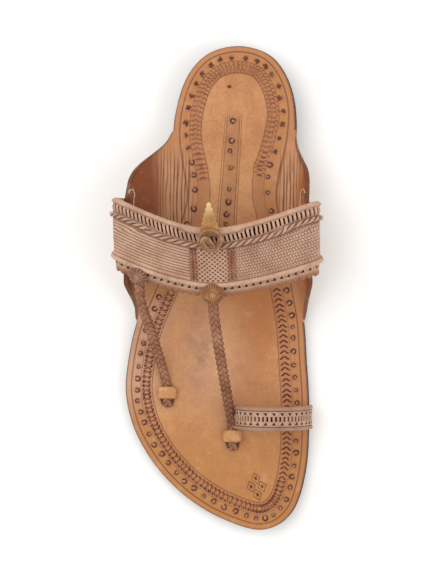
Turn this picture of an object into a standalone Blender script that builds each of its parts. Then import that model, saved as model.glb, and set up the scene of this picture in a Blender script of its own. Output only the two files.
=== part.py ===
"""Kolhapuri sandal, right shoe.

The toe points along +Y, the medial side (big toe) is -X, the lateral side is +X and the floor is z = 0.
The origin is the middle of the heel cap's bottom face. Everything is in metres.
Along shares run from the back of the heel (0) to the tip of the toe (1).
"""

import math

import bmesh
import bpy
import numpy as np

# Sole and its layers
SOLE_LENGTH = 0.290
BALL_WIDTH = 0.1120
HEEL_BACK_TO_REST = 0.038
HEEL_CAP_THICKNESS = 0.0052
HEEL_LIFT_THICKNESS = 0.0060
OUTSOLE_THICKNESS = 0.0045
INSOLE_THICKNESS = 0.0028
TOE_SPRING = 0.0040
EDGE_BEVEL = 0.0012
INSOLE_INSET = 0.0005
HEEL_INSET = 0.0004
FIT_GAP = 0.0003
SHANK_START = 0.345
SHANK_END = 0.600
TOE_SPRING_START = 0.820
BREAST_LATERAL = 0.3175
BREAST_MEDIAL = 0.3330

# Ears of the insole and the instep above them
LATERAL_REACH = 0.0652
MEDIAL_REACH = 0.0464
CREST_X = 0.0108
CREST_HEIGHT_REAR = 0.0460
CREST_HEIGHT_FRONT = 0.0345
WAIST_SHARE = 0.58
EAR_LEAVE_ANGLE = 20.0
EAR_LEAVE_SHARE = 0.35
EAR_RISE_SHARE = 0.45
EAR_TOP_LATERAL = 0.78
EAR_TOP_MEDIAL = 0.60
BEND_SHARE = 0.16
SIDE_CELLS = 7
FLAT_CELLS = 3

# Instep band
BAND_WALL = 0.0018
BAND_RELIEF = 0.0010
BAND_REAR_CREST = 0.1100
BAND_FRONT_CREST = 0.1464
BAND_REAR_FALL_LATERAL = 0.0185
BAND_REAR_FALL_MEDIAL = 0.0160
BAND_FRONT_FALL_LATERAL = 0.0150
BAND_FRONT_FALL_MEDIAL = 0.0120
BAND_BOW = 1.6
BAND_FOOT = 0.30
CREST_TURN = 2.0
SLOT_PITCH = 0.0047
SLOT_SHARE = 0.36
SLOT_SLANT = 0.0012
STRIP_WALL = 0.0011
SCALLOP_DEPTH = 0.0022
SCALLOP_PITCH = 0.0041

# Braids
BRAID_WIDTH = 0.0064
BRAID_END_WIDTH = 0.0055
BRAID_THICKNESS = 0.0034
BRAID_END_THICKNESS = 0.0022
BRAID_PITCH = 0.0038
BRAID_SKEW = 0.0016
CENTRE_BRAID_END_X = 0.0026
CENTRE_BRAID_END_Y = 0.2420
SIDE_BRAID_END_X = 0.0422
SIDE_BRAID_END_Y = 0.2160
SIDE_BRAID_TURN = 1.44
BRAID_ON_BAND = (0.80, 0.90, 1.00, 1.10, 1.20, 1.28)
BRAID_SWELL_START = 0.018
BRAID_SWELL_END = 0.026
BRAID_FLATTENING = 0.020

# Toe loop
LOOP_CENTRE_Y = 0.2222
LOOP_WIDTH = 0.0142
LOOP_WALL = 0.0020
LOOP_RELIEF = 0.0008
LOOP_HEIGHT = 0.0275
LOOP_TONGUE = 0.0080
LOOP_PITCH = 0.0047
LOOP_OVERLAP = 0.0013
LOOP_CORNER = 0.75

# Trims
ROSETTE_CENTRE_DIAMETER = 0.0135
ROSETTE_SIDE_DIAMETER = 0.0115
ROSETTE_THICKNESS = 0.0012
ROSETTE_DOME = 0.0009
ROSETTE_FRINGES = 18
ROSETTE_NOTCH = 0.86
ROSETTE_ACROSS = 0.96
KNOT_STRAND = 0.0028
KNOT_SIZE = 0.0055
KNOT_ACROSS = 0.09
KNOT_STEPS = 42
KNOT_SIDES = 7
TAB_ACROSS = 0.05
TAB_LENGTH = 0.0205
TAB_WIDTH = 0.0115
TAB_THICKNESS = 0.0010
TAB_TEETH = 7
TAB_TOOTH = 0.064
TAB_TIP = 0.03
BRIDGE_WIDTH = 0.0118
BRIDGE_LENGTH = 0.0072
BRIDGE_WALL = 0.0016
BRIDGE_BEFORE_TIP = 0.0082
BRIDGE_ROUND = 0.6

# Rows: along share, lateral and medial half width as shares of the ball width
OUTLINE = (
    (0.000, -0.009, 0.009),
    (0.018, 0.162, 0.179),
    (0.054, 0.251, 0.260),
    (0.109, 0.309, 0.311),
    (0.181, 0.338, 0.322),
    (0.254, 0.326, 0.306),
    (0.322, 0.303, 0.270),
    (0.400, 0.365, 0.290),
    (0.476, 0.444, 0.321),
    (0.580, 0.555, 0.362),
    (0.653, 0.595, 0.373),
    (0.707, 0.608, 0.383),
    (0.780, 0.574, 0.386),
    (0.853, 0.477, 0.378),
    (0.908, 0.356, 0.354),
    (0.961, 0.172, 0.302),
    (0.988, 0.016, 0.232),
    (1.000, -0.126, 0.126),
)
# Rows: along share, lateral and medial ear height as shares of their tops
EARS = (
    (0.175, 0.00, 0.00),
    (0.200, 0.17, 0.03),
    (0.218, 0.37, 0.20),
    (0.236, 0.58, 0.48),
    (0.254, 0.76, 0.77),
    (0.275, 0.89, 0.94),
    (0.300, 0.96, 1.00),
    (0.450, 1.00, 1.00),
    (0.490, 1.00, 0.97),
    (0.508, 0.80, 0.76),
    (0.526, 0.54, 0.52),
    (0.544, 0.28, 0.29),
    (0.567, 0.00, 0.00),
)
# Rows: across share of the instep band from its rear edge, relief share, 1 where the lacing starts
BAND_PROFILE = (
    (0.000, 0.25, 0),
    (0.041, 1.00, 0),
    (0.075, 0.00, 1),
    (0.190, 0.00, 0),
    (0.240, 1.00, 0),
    (0.285, 0.30, 0),
    (0.790, 0.30, 0),
    (0.835, 1.00, 0),
    (0.880, 0.20, 0),
)
BAND_STEP = 0.780
STRIP_START = 0.805
# Rows: the knot's folds as shares of its size, to the medial side, to the front and up
KNOT_FOLDS = (
    (0.80, 0.85, 0.00),
    (1.05, 0.10, 0.00),
    (0.62, -0.78, 0.02),
    (-0.20, -1.00, 0.04),
    (-0.92, -0.55, 0.04),
    (-1.05, 0.30, 0.04),
    (-0.62, 1.00, 0.08),
    (0.02, 1.12, 0.30),
    (0.42, 0.62, 0.58),
    (0.72, 0.02, 0.60),
    (0.50, -0.36, 0.60),
    (0.12, -0.22, 0.60),
    (-0.26, 0.30, 0.58),
    (-0.52, 0.74, 0.56),
)
# Rows: across share of the toe loop, relief share, 1 where the lacing starts
LOOP_PROFILE = (
    (0.000, 0.30, 0),
    (0.110, 1.00, 0),
    (0.230, 0.00, 0),
    (0.400, 0.40, 1),
    (0.600, 0.40, 0),
    (0.770, 0.00, 0),
    (0.890, 1.00, 0),
    (1.000, 0.30, 0),
)
# Rows: share of the way from band to bridge, share of the height there
CENTRE_FALL = ((0.00, 1.00), (0.19, 0.87), (0.41, 0.65), (0.59, 0.42), (0.77, 0.20), (0.92, 0.04), (1.00, 0.00))
SIDE_FALL = ((0.00, 1.00), (0.15, 0.86), (0.32, 0.64), (0.55, 0.36), (0.75, 0.14), (0.91, 0.03), (1.00, 0.00))


def finish(name, points, faces, material):
    """One object with outward faces and smooth shading on its round stretches."""
    shape = bmesh.new()
    corners = [shape.verts.new(point) for point in points]
    for face in faces:
        shape.faces.new([corners[number] for number in face])
    bmesh.ops.remove_doubles(shape, verts=shape.verts, dist=2e-6)
    bmesh.ops.dissolve_degenerate(shape, dist=1e-6, edges=shape.edges)
    bmesh.ops.triangulate(shape, faces=shape.faces)
    bmesh.ops.recalc_face_normals(shape, faces=shape.faces)
    mesh = bpy.data.meshes.new(name)
    shape.to_mesh(mesh)
    shape.free()
    mesh.materials.append(material)
    mesh.shade_smooth()
    mesh.set_sharp_from_angle(angle=math.radians(40))
    piece = bpy.data.objects.new(name, mesh)
    bpy.context.collection.objects.link(piece)
    return piece


def sheet(name, outer, inner, material, slots=()):
    """A closed wall between two grids of points; slots lists the cells that stay open."""
    rows, columns = outer.shape[:2]
    below = rows * columns
    number = np.arange(below).reshape(rows, columns)
    solid = np.zeros((rows + 1, columns + 1), bool)
    solid[1:rows, 1:columns] = True
    for row, column in slots:
        solid[row + 1, column + 1] = False
    faces = []
    for i in range(rows - 1):
        for j in range(columns - 1):
            if not solid[i + 1, j + 1]:
                continue
            ring = (number[i, j], number[i + 1, j], number[i + 1, j + 1], number[i, j + 1])
            beside = (solid[i + 1, j], solid[i + 2, j + 1], solid[i + 1, j + 2], solid[i, j + 1])
            faces.append(ring)
            faces.append([corner + below for corner in reversed(ring)])
            for side in range(4):
                if not beside[side]:
                    start, end = ring[side], ring[(side + 1) % 4]
                    faces.append((end, start, start + below, end + below))
    points = np.concatenate([outer.reshape(-1, 3), inner.reshape(-1, 3)])
    return finish(name, points, faces, material)


def tube(name, rings, material, start_cap=True, end_cap=True):
    """A closed body through rings of points; an end without a cap runs to one upright line."""
    rows, columns = rings.shape[:2]
    number = np.arange(rows * columns).reshape(rows, columns)
    faces = []
    for i in range(rows - 1):
        for j in range(columns):
            following = (j + 1) % columns
            faces.append((number[i, j], number[i + 1, j], number[i + 1, following], number[i, following]))
    if start_cap:
        faces.append(list(number[0]))
    if end_cap:
        faces.append(list(number[-1][::-1]))
    return finish(name, rings.reshape(-1, 3), faces, material)


def leather(name, colour, roughness):
    """A plain leather or rubber surface."""
    material = bpy.data.materials.new(name)
    material.use_nodes = True
    shader = material.node_tree.nodes["Principled BSDF"]
    shader.inputs["Base Color"].default_value = (*colour, 1.0)
    shader.inputs["Roughness"].default_value = roughness
    shader.inputs["Metallic"].default_value = 0.0
    return material


def ease(start, end, value):
    """0 before start, 1 after end and a smooth step between them."""
    share = np.clip((value - start) / (end - start), 0.0, 1.0)
    return share * share * (3.0 - 2.0 * share)


def through(at, values, where):
    """A cubic through table rows, with each row's slope taken from its neighbours."""
    at, values, where = np.asarray(at), np.asarray(values), np.asarray(where, float)
    slope = np.gradient(values, at)
    row = np.clip(np.searchsorted(at, where) - 1, 0, len(at) - 2)
    step = at[row + 1] - at[row]
    share = np.clip((where - at[row]) / step, 0.0, 1.0)
    square, cube = share**2, share**3
    from_start = (2 * cube - 3 * square + 1) * values[row] + (cube - 2 * square + share) * step * slope[row]
    to_end = (3 * square - 2 * cube) * values[row + 1] + (cube - square) * step * slope[row + 1]
    return from_start + to_end


def sole_edges(along):
    """Lateral and medial x of the sole; rows are spaced by an angle, which keeps both ends round."""
    table = np.array(OUTLINE)
    turn = np.arccos(np.clip(1.0 - 2.0 * np.asarray(along, float), -1.0, 1.0))
    at = np.arccos(1.0 - 2.0 * table[:, 0])
    lateral = through(at, table[:, 1], turn) * BALL_WIDTH
    medial = through(at, table[:, 2], turn) * BALL_WIDTH
    return lateral, -medial


def outsole_bottom(along):
    """Height of the outsole's underside: level at the heel, down the shank, flat tread, toe spring."""
    heel = HEEL_CAP_THICKNESS + FIT_GAP + HEEL_LIFT_THICKNESS + FIT_GAP
    spring = np.clip((along - TOE_SPRING_START) / (1.0 - TOE_SPRING_START), 0.0, 1.0)
    return heel * (1.0 - ease(SHANK_START, SHANK_END, along)) + TOE_SPRING * spring**2


def insole_top(along):
    """Height of the face that the foot stands on."""
    return outsole_bottom(along) + OUTSOLE_THICKNESS + FIT_GAP + INSOLE_THICKNESS


def world_y(along):
    """Place along Y of a share of the sole's length."""
    return along * SOLE_LENGTH - HEEL_BACK_TO_REST


def crest_height(along):
    """Height of the instep above the insole: level behind the band's rear crest, falling in front of it."""
    share = (along * SOLE_LENGTH - BAND_REAR_CREST) / (BAND_FRONT_CREST - BAND_REAR_CREST)
    return CREST_HEIGHT_REAR - (CREST_HEIGHT_REAR - CREST_HEIGHT_FRONT) * np.maximum(share, 0.0)


def last_point(along, side, turn):
    """A point of the foot's surface. side is 1 lateral, -1 medial; turn is 0 at the sole's edge, 1 at the
    widest place and 2 on the crest. Below 1 a cubic leaves the sole at a low angle and arrives upright,
    above 1 a quarter of an ellipse closes over the instep."""
    along, side, turn = np.broadcast_arrays(np.asarray(along, float), side, np.asarray(turn, float))
    lateral, medial = sole_edges(along)
    half = np.maximum((lateral - medial) / 2 - INSOLE_INSET, 0.0)
    edge = (lateral + medial) / 2 + side * half
    wide = np.where(side > 0, LATERAL_REACH, -MEDIAL_REACH)
    crest = crest_height(along)
    waist = crest * WAIST_SHARE
    leave = math.radians(EAR_LEAVE_ANGLE)
    handle = (wide - edge) * EAR_LEAVE_SHARE
    u = np.clip(turn, 0.0, 1.0)
    first, second, third = 3 * u * (1 - u) ** 2, 3 * u**2 * (1 - u), u**3
    low_x = edge + first * handle * math.cos(leave) + (second + third) * (wide - edge)
    low_z = first * abs(handle) * math.sin(leave) + second * waist * (1 - EAR_RISE_SHARE) + third * waist
    angle = np.clip(turn - 1.0, 0.0, 1.0) * math.pi / 2
    high_x = CREST_X + (wide - CREST_X) * np.cos(angle)
    high_z = waist + (crest - waist) * np.sin(angle)
    x = np.where(turn < 1, low_x, high_x)
    z = np.where(turn < 1, low_z, high_z) + insole_top(along)
    return np.stack([x, world_y(along), z], axis=-1)


def band_point(side, turn, across):
    """A point of the foot's surface under the instep band; across is 0 at its rear edge and 1 at its front.
    Both edges bow forward from their ends to the crest."""
    side, turn, across = np.broadcast_arrays(side, np.asarray(turn, float), np.asarray(across, float))
    drop = np.cos(np.clip(turn - 1.0, 0.0, 1.0) * math.pi / 2) ** BAND_BOW
    rear = BAND_REAR_CREST - drop * np.where(side > 0, BAND_REAR_FALL_LATERAL, BAND_REAR_FALL_MEDIAL)
    front = BAND_FRONT_CREST - drop * np.where(side > 0, BAND_FRONT_FALL_LATERAL, BAND_FRONT_FALL_MEDIAL)
    return last_point((rear + (front - rear) * across) / SOLE_LENGTH, side, turn)


def unit(vectors):
    """Vectors of length one."""
    return vectors / np.linalg.norm(vectors, axis=-1, keepdims=True)


def grid_normals(points):
    """Outward directions of a grid whose columns run forward and whose rows run from lateral to medial."""
    return unit(np.cross(np.gradient(points, axis=1), np.gradient(points, axis=0)))


def band_frame(side, turn, across):
    """Place, forward direction and outward direction on the foot's surface under the band."""
    step = 0.01
    place = band_point(side, turn, across)
    forward = unit(band_point(side, turn, across + step) - place)
    upward = side * (band_point(side, turn + step, across) - band_point(side, turn - step, across))
    return place, forward, unit(np.cross(forward, upward))


def sole_rows(start, end, count):
    """Along shares between start and end, closer together towards the round ends."""
    angles = np.linspace(math.acos(1 - 2 * start), math.acos(1 - 2 * end), count)
    return (1 - np.cos(angles)) / 2


def layer(name, lateral_along, medial_along, bottom, top, inset, bevel, material, end_cap):
    """A flat layer of the sole with a bevelled lower edge. Its two sides have their own along shares."""
    lateral = sole_edges(lateral_along)[0] - inset
    medial = sole_edges(medial_along)[1] + inset
    middle = (lateral + medial) / 2
    half = np.maximum((lateral - medial) / 2, 0.0)
    low = half - np.minimum(bevel, half * 0.8)
    rings = np.zeros((len(lateral_along), 6, 3))
    places = ((half, top), (half, bottom + bevel), (low, bottom), (-low, bottom), (-half, bottom + bevel), (-half, top))
    for column, (reach, height) in enumerate(places):
        rings[:, column, 0] = middle + reach
        rings[:, column, 1] = world_y(lateral_along if column < 3 else medial_along)
        rings[:, column, 2] = height
    return tube(name, rings, material, False, end_cap)


def make_outsole(material):
    """Outsole with a pocket in its medial edge for the toe loop's tongue."""
    along = np.concatenate([sole_rows(0, 0.30, 15)[:-1], sole_rows(0.30, 0.62, 11)[:-1], sole_rows(0.62, 1, 23)])
    bottom = outsole_bottom(along)
    outsole = layer("outsole", along, along, bottom, bottom + OUTSOLE_THICKNESS, 0.0, EDGE_BEVEL, material, False)
    pocket_top = OUTSOLE_THICKNESS + FIT_GAP + INSOLE_THICKNESS
    pocket_floor = OUTSOLE_THICKNESS - LOOP_WALL - FIT_GAP
    outer, inner = loop_leg_x() - LOOP_WALL * 2, loop_leg_x() + LOOP_TONGUE + FIT_GAP
    half = LOOP_WIDTH / 2 + FIT_GAP
    level = outsole_bottom(LOOP_CENTRE_Y / SOLE_LENGTH)
    centre_y = world_y(LOOP_CENTRE_Y / SOLE_LENGTH)
    bpy.ops.mesh.primitive_cube_add(size=1.0)
    pocket = bpy.context.object
    pocket.name = "tongue_pocket_cutter"
    pocket.scale = (inner - outer, 2 * half, pocket_top - pocket_floor)
    pocket.location = ((inner + outer) / 2, centre_y, level + (pocket_top + pocket_floor) / 2)
    pocket.hide_render = True
    pocket.display_type = "WIRE"
    cut = outsole.modifiers.new("tongue pocket", "BOOLEAN")
    cut.operation = "DIFFERENCE"
    cut.object = pocket
    return outsole


def make_heel(lift_material, cap_material):
    """Leather lift and rubber cap under the heel, both with a straight, slightly slanted breast."""
    share = sole_rows(0, 0.5, 18) / 0.5
    lateral, medial = share * BREAST_LATERAL, share * BREAST_MEDIAL
    cap_top = HEEL_CAP_THICKNESS
    lift_bottom = cap_top + FIT_GAP
    layer("heel_cap", lateral, medial, 0.0, cap_top, HEEL_INSET, EDGE_BEVEL * 0.6, cap_material, True)
    lift_top = lift_bottom + HEEL_LIFT_THICKNESS
    layer("heel_lift", lateral, medial, lift_bottom, lift_top, HEEL_INSET, EDGE_BEVEL * 0.4, lift_material, True)


def make_insole(material):
    """Insole with its two ears: each row is one strip of leather from ear to ear, of even thickness."""
    table = np.array(EARS)
    first, last = table[0, 0], table[-1, 0]
    ear_rows = np.linspace(first, last, 25)
    along = np.concatenate([sole_rows(0, first, 10)[:-1], ear_rows, sole_rows(last, 1, 20)[1:]])
    ears = []
    for column, top in ((1, EAR_TOP_LATERAL), (2, EAR_TOP_MEDIAL)):
        share = through(table[:, 0], table[:, column], along)
        share = np.where((along > first) & (along < last), share, 0.0)
        ears.append(np.clip(share, 0.0, 1.0) * top)
    outer = np.zeros((len(along), 0, 3))
    for side, ear in ((1, ears[0]), (-1, ears[1])):
        edge = last_point(along, side, 0.0)
        width = abs(edge[:, 0] - last_point(along, -side, 0.0)[:, 0])
        inner_x = edge[:, 0] - side * width * BEND_SHARE
        columns = []
        for row in range(len(along)):
            curve = last_point(along[row], side, np.linspace(0, ear[row], 30))
            start = np.array([[inner_x[row], edge[row, 1], edge[row, 2]]])
            curve = np.concatenate([start, curve])
            run = np.concatenate([[0], np.cumsum(np.linalg.norm(np.diff(curve, axis=0), axis=1))])
            at = np.linspace(0, run[-1], SIDE_CELLS + 1)
            columns.append(np.stack([np.interp(at, run, curve[:, axis]) for axis in range(3)], axis=-1))
        part = np.array(columns)
        if side > 0:
            outer = part[:, ::-1]
            lateral_start = part[:, 0]
        else:
            share = np.linspace(0, 1, FLAT_CELLS + 1)[1:-1, None]
            flat = lateral_start[:, None] + (part[:, 0] - lateral_start)[:, None] * share
            outer = np.concatenate([outer, flat, part], axis=1)
    across = np.gradient(outer, axis=1)
    normal = np.stack([across[..., 2], np.zeros(across.shape[:2]), -across[..., 0]], axis=-1)
    size = np.linalg.norm(normal, axis=-1, keepdims=True)
    upward = np.array([0.0, 0.0, 1.0])
    normal = np.where(size > 1e-9, normal / np.maximum(size, 1e-9), upward)
    return sheet("insole", outer, outer - normal * INSOLE_THICKNESS, material)


def band_stations(spacing, marks):
    """Distances along the band from its lateral to its medial foot: evenly spaced ones, about spacing apart,
    and between them one at each of the marks, which are shares of the spacing."""
    turns = np.linspace(BAND_FOOT, 2.0, 300)
    runs = []
    for side in (1, -1):
        curve = band_point(side, turns, 0.5)
        runs.append(np.concatenate([[0], np.cumsum(np.linalg.norm(np.diff(curve, axis=0), axis=1))]))
    total = runs[0][-1] + runs[1][-1]
    count = int(total / spacing)
    at = np.arange(count)[:, None] + np.array((0.0, *marks))[None, :]
    return np.append(at.ravel(), count) * total / count, runs, turns


def band_place(at, runs, turns, across):
    """Points of the foot's surface at distances along the band."""
    lateral = at <= runs[0][-1]
    up = np.interp(at, runs[0], turns)
    down = np.interp(runs[0][-1] + runs[1][-1] - at, runs[1], turns)
    return band_point(np.where(lateral, 1, -1), np.where(lateral, up, down), across)


def make_band(material):
    """Instep band: rolled edge, open ladder lacing, cord, panel and rib, all steps in one wall.
    In front of the step its inner face leaves room for the pinked strip."""
    at, runs, turns = band_stations(SLOT_PITCH, (1 - SLOT_SHARE,))
    profile = np.array(BAND_PROFILE)
    across = profile[:, 0]
    total = at[-1]
    lacing = int(np.argmax(profile[:, 2]))
    lace_start, lace_end = across[lacing], across[lacing + 1]
    slant = SLOT_SLANT * np.clip((across - lace_start) / (lace_end - lace_start), 0, 1)
    place = at[:, None] + slant[None, :] * np.sin(np.pi * at / total)[:, None]
    surface = band_place(place, runs, turns, across[None, :])
    normal = grid_normals(surface)
    below = INSOLE_THICKNESS + FIT_GAP + np.where(across > BAND_STEP, STRIP_WALL + FIT_GAP, 0.0)
    height = INSOLE_THICKNESS + FIT_GAP + BAND_WALL + BAND_RELIEF * profile[:, 1]
    height = height + np.where(across > BAND_STEP, STRIP_WALL, 0.0)
    outer = surface + normal * height[None, :, None]
    inner = surface + normal * below[None, :, None]
    slots = [(row, lacing) for row in range(3, len(at) - 3, 2)]
    return sheet("upper_straps", outer, inner, material, slots)


def make_pinked_strip(material):
    """Thin strip under the band's front edge with a front of round scallops."""
    at, runs, turns = band_stations(SCALLOP_PITCH, (0.25, 0.50, 0.75))
    depth = SCALLOP_DEPTH / (BAND_FRONT_CREST - BAND_REAR_CREST)
    lobe = depth * np.sin(np.pi * (np.arange(len(at)) % 4) / 4) ** 0.7
    across = np.stack([np.full(len(at), STRIP_START), np.full(len(at), 1.0), 1.0 + lobe], axis=1)
    across[:, 1] = 1.0 - depth * 0.25
    surface = band_place(at[:, None], runs, turns, across)
    level = across.copy()
    level[:, 2] = 1.0
    normal = grid_normals(band_place(at[:, None], runs, turns, level))
    below = INSOLE_THICKNESS + FIT_GAP
    return sheet("pinked_strip", surface + normal * (below + STRIP_WALL), surface + normal * below, material)


def braid_route(turn, end_x, end_y, fall):
    """Dense middle line of a braid: out of the band, over the pinked strip, down to the insole and along it."""
    low = INSOLE_THICKNESS + 2 * FIT_GAP + STRIP_WALL
    points, ups = [], []
    for across in BRAID_ON_BAND:
        place, _, up = band_frame(1, turn, across)
        points.append(place + up * (low + BRAID_END_THICKNESS / 2))
        ups.append(up)
    start = points[-1]
    end_along = end_y / SOLE_LENGTH
    rest_y = world_y(end_along) - BRIDGE_BEFORE_TIP - BRIDGE_LENGTH / 2
    rest_along = (rest_y + HEEL_BACK_TO_REST) / SOLE_LENGTH
    clearance = FIT_GAP + BRAID_END_THICKNESS / 2
    drop = start[2] - insole_top(rest_along) - clearance
    table = np.array(fall)
    leaning = ups[-1]
    for share in np.linspace(0, 1, 25)[1:]:
        along = (start[1] + HEEL_BACK_TO_REST) / SOLE_LENGTH * (1 - share) + rest_along * share
        x = start[0] + (end_x - start[0]) * share
        z = insole_top(along) + clearance + drop * through(table[:, 0], table[:, 1], share)
        lean = 1 - ease(0.0, 0.5, share)
        points.append(np.array([x, world_y(along), z]))
        ups.append(unit(leaning * lean + np.array([0.0, 0.0, 1.0]) * (1 - lean)))
    for share in (0.25, 0.5, 0.75, 1.0):
        along = rest_along * (1 - share) + end_along * share
        points.append(np.array([end_x, world_y(along), insole_top(along) + clearance]))
        ups.append(np.array([0.0, 0.0, 1.0]))
    return np.array(points), np.array(ups)


def make_braid(name, turn, end_x, end_y, fall, material):
    """A flat braid: two rows of raised strands that meet in chevrons along its middle."""
    route, ups = braid_route(turn, end_x, end_y, fall)
    run = np.concatenate([[0], np.cumsum(np.linalg.norm(np.diff(route, axis=0), axis=1))])
    count = 2 * int(run[-1] / BRAID_PITCH)
    at = np.linspace(0, run[-1], count + 1)
    columns = ((-0.8, -0.5), (0.8, -0.5), (1.0, 0.0), (0.55, 0.5), (0.0, 0.30), (-0.55, 0.5), (-1.0, 0.0))
    rest = BRIDGE_BEFORE_TIP + BRIDGE_LENGTH
    rings = np.zeros((len(at), len(columns), 3))
    inside = np.sin(np.clip(at / run[-1], 0, 1) * np.pi) > 0.02
    for column, (beside, above) in enumerate(columns):
        place = at + np.where(inside, BRAID_SKEW * (1 - abs(beside)) * (above > 0), 0.0)
        place = np.clip(place, 0, run[-1])
        point = np.stack([np.interp(place, run, route[:, axis]) for axis in range(3)], axis=-1)
        up = np.stack([np.interp(place, run, ups[:, axis]) for axis in range(3)], axis=-1)
        ahead = np.stack([np.gradient(route[:, axis], run) for axis in range(3)], axis=-1)
        ahead = unit(np.stack([np.interp(place, run, ahead[:, axis]) for axis in range(3)], axis=-1))
        sideways = unit(np.cross(ahead, up))
        up = np.cross(sideways, ahead)
        to_end = 1 - ease(run[-1] - rest - BRAID_FLATTENING, run[-1] - rest, place)
        from_start = ease(BRAID_SWELL_START, BRAID_SWELL_END, place)
        thick = BRAID_END_THICKNESS + (BRAID_THICKNESS - BRAID_END_THICKNESS) * to_end * from_start
        wide = BRAID_END_WIDTH + (BRAID_WIDTH - BRAID_END_WIDTH) * to_end
        tip = np.clip((run[-1] - place) / (BRAID_END_WIDTH / 2), 0, 1)
        wide = wide * np.sqrt(np.maximum(1 - (1 - tip) ** 2, 0.09))
        low_strand = np.where((np.arange(len(at)) % 2 == 1) & (to_end * from_start > 0.02), 0.72, 1.0)
        raised = above * (low_strand if above > 0 else 1.0)
        lift = (thick - BRAID_END_THICKNESS) / 2
        rings[:, column] = point + sideways * (wide / 2 * beside)[:, None] + up * (thick * raised + lift)[:, None]
    return tube(name, rings, material)


def loop_leg_x():
    """Middle of the toe loop's medial leg, just outside the insole's edge."""
    half = LOOP_WIDTH / 2
    along = (LOOP_CENTRE_Y + np.array([-half, 0.0, half])) / SOLE_LENGTH
    edge = last_point(along, -1, 0.0)[:, 0].min()
    return edge - FIT_GAP - LOOP_WALL / 2


def make_toe_loop(name, material):
    """Toe loop: tongue between the soles, up outside the insole, over the big toe and down to the braid."""
    centre = LOOP_CENTRE_Y / SOLE_LENGTH
    floor = insole_top(centre)
    tongue_z = outsole_bottom(centre) + OUTSOLE_THICKNESS - LOOP_WALL / 2
    leg = loop_leg_x()
    inner = CENTRE_BRAID_END_X - BRAID_END_WIDTH / 2 - LOOP_WALL / 2 + LOOP_OVERLAP
    middle, half = (leg + inner) / 2, (inner - leg) / 2
    corner = LOOP_WALL * LOOP_CORNER
    path = [(leg + LOOP_TONGUE, tongue_z), (leg + corner, tongue_z)]
    path += [(leg + corner * (1 - math.sin(a)), tongue_z + corner * (1 - math.cos(a))) for a in (0.52, 1.05, 1.57)]
    fixed = len(path)
    angles = np.linspace(0, math.pi, 400)
    arch = np.stack([middle - half * np.cos(angles), floor + LOOP_HEIGHT * np.sin(angles)], axis=-1)
    foot = floor + FIT_GAP
    arch = arch[(angles < 1.57) | (arch[:, 1] > foot)]
    run = np.concatenate([[0], np.cumsum(np.linalg.norm(np.diff(arch, axis=0), axis=1))])
    count = int(run[-1] / LOOP_PITCH)
    marks = []
    for mark in range(count):
        marks += [mark, mark + 1 - SLOT_SHARE]
    at = np.array(marks + [count]) * run[-1] / count
    path += [(np.interp(mark, run, arch[:, 0]), np.interp(mark, run, arch[:, 1])) for mark in at]
    path = np.array(path)
    ahead = unit(np.gradient(path, axis=0))
    outward = np.stack([-ahead[:, 1], ahead[:, 0]], axis=-1)
    profile = np.array(LOOP_PROFILE)
    y = world_y(centre) + (profile[:, 0] - 0.5) * LOOP_WIDTH
    relief = LOOP_RELIEF * profile[:, 1][None, :] * (np.arange(len(path)) >= fixed)[:, None]
    high = LOOP_WALL / 2 + relief
    outer = np.zeros((len(path), len(profile), 3))
    low = np.zeros_like(outer)
    for grid, away in ((outer, high), (low, np.full(high.shape, -LOOP_WALL / 2))):
        grid[..., 0] = path[:, None, 0] + outward[:, None, 0] * away
        grid[..., 1] = y[None, :]
        grid[..., 2] = path[:, None, 1] + outward[:, None, 1] * away
    lacing = int(np.argmax(profile[:, 2]))
    slots = [(row, lacing) for row in range(fixed + 1, len(path) - 3, 2)]
    return sheet(name, outer, low, material, slots)


def join_straps(band, parts):
    """Unites braids and toe loop with the band into one solid."""
    for part in parts:
        part.hide_render = True
        part.display_type = "WIRE"
        union = band.modifiers.new(part.name, "BOOLEAN")
        union.operation = "UNION"
        union.object = part


def make_rosette(name, turn, diameter, material):
    """Fringed disc with a low dome, seated over the start of a braid."""
    place, forward, up = band_frame(1, turn, ROSETTE_ACROSS)
    sideways = np.cross(forward, up)
    base = INSOLE_THICKNESS + 3 * FIT_GAP + STRIP_WALL + BRAID_END_THICKNESS
    centre = place + up * base
    count = 2 * ROSETTE_FRINGES
    turn_by = np.arange(count) * 2 * math.pi / count
    fringe = np.where(np.arange(count) % 2 == 0, 1.0, ROSETTE_NOTCH)
    around = np.cos(turn_by)[:, None] * sideways + np.sin(turn_by)[:, None] * forward
    rim = diameter / 2 * fringe[:, None] * around
    points = [centre, *(centre + rim), *(centre + rim + up * ROSETTE_THICKNESS * 0.7)]
    points += [*(centre + rim * 0.45 + up * (ROSETTE_THICKNESS + ROSETTE_DOME))]
    points.append(centre + up * (ROSETTE_THICKNESS + ROSETTE_DOME * 1.1))
    top = len(points) - 1
    faces = []
    for i in range(count):
        j = (i + 1) % count
        faces.append((0, 1 + j, 1 + i))
        for ring in (1, 1 + count):
            faces.append((ring + i, ring + j, ring + count + j, ring + count + i))
        faces.append((1 + 2 * count + i, 1 + 2 * count + j, top))
    return finish(name, points, faces, material)


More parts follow.
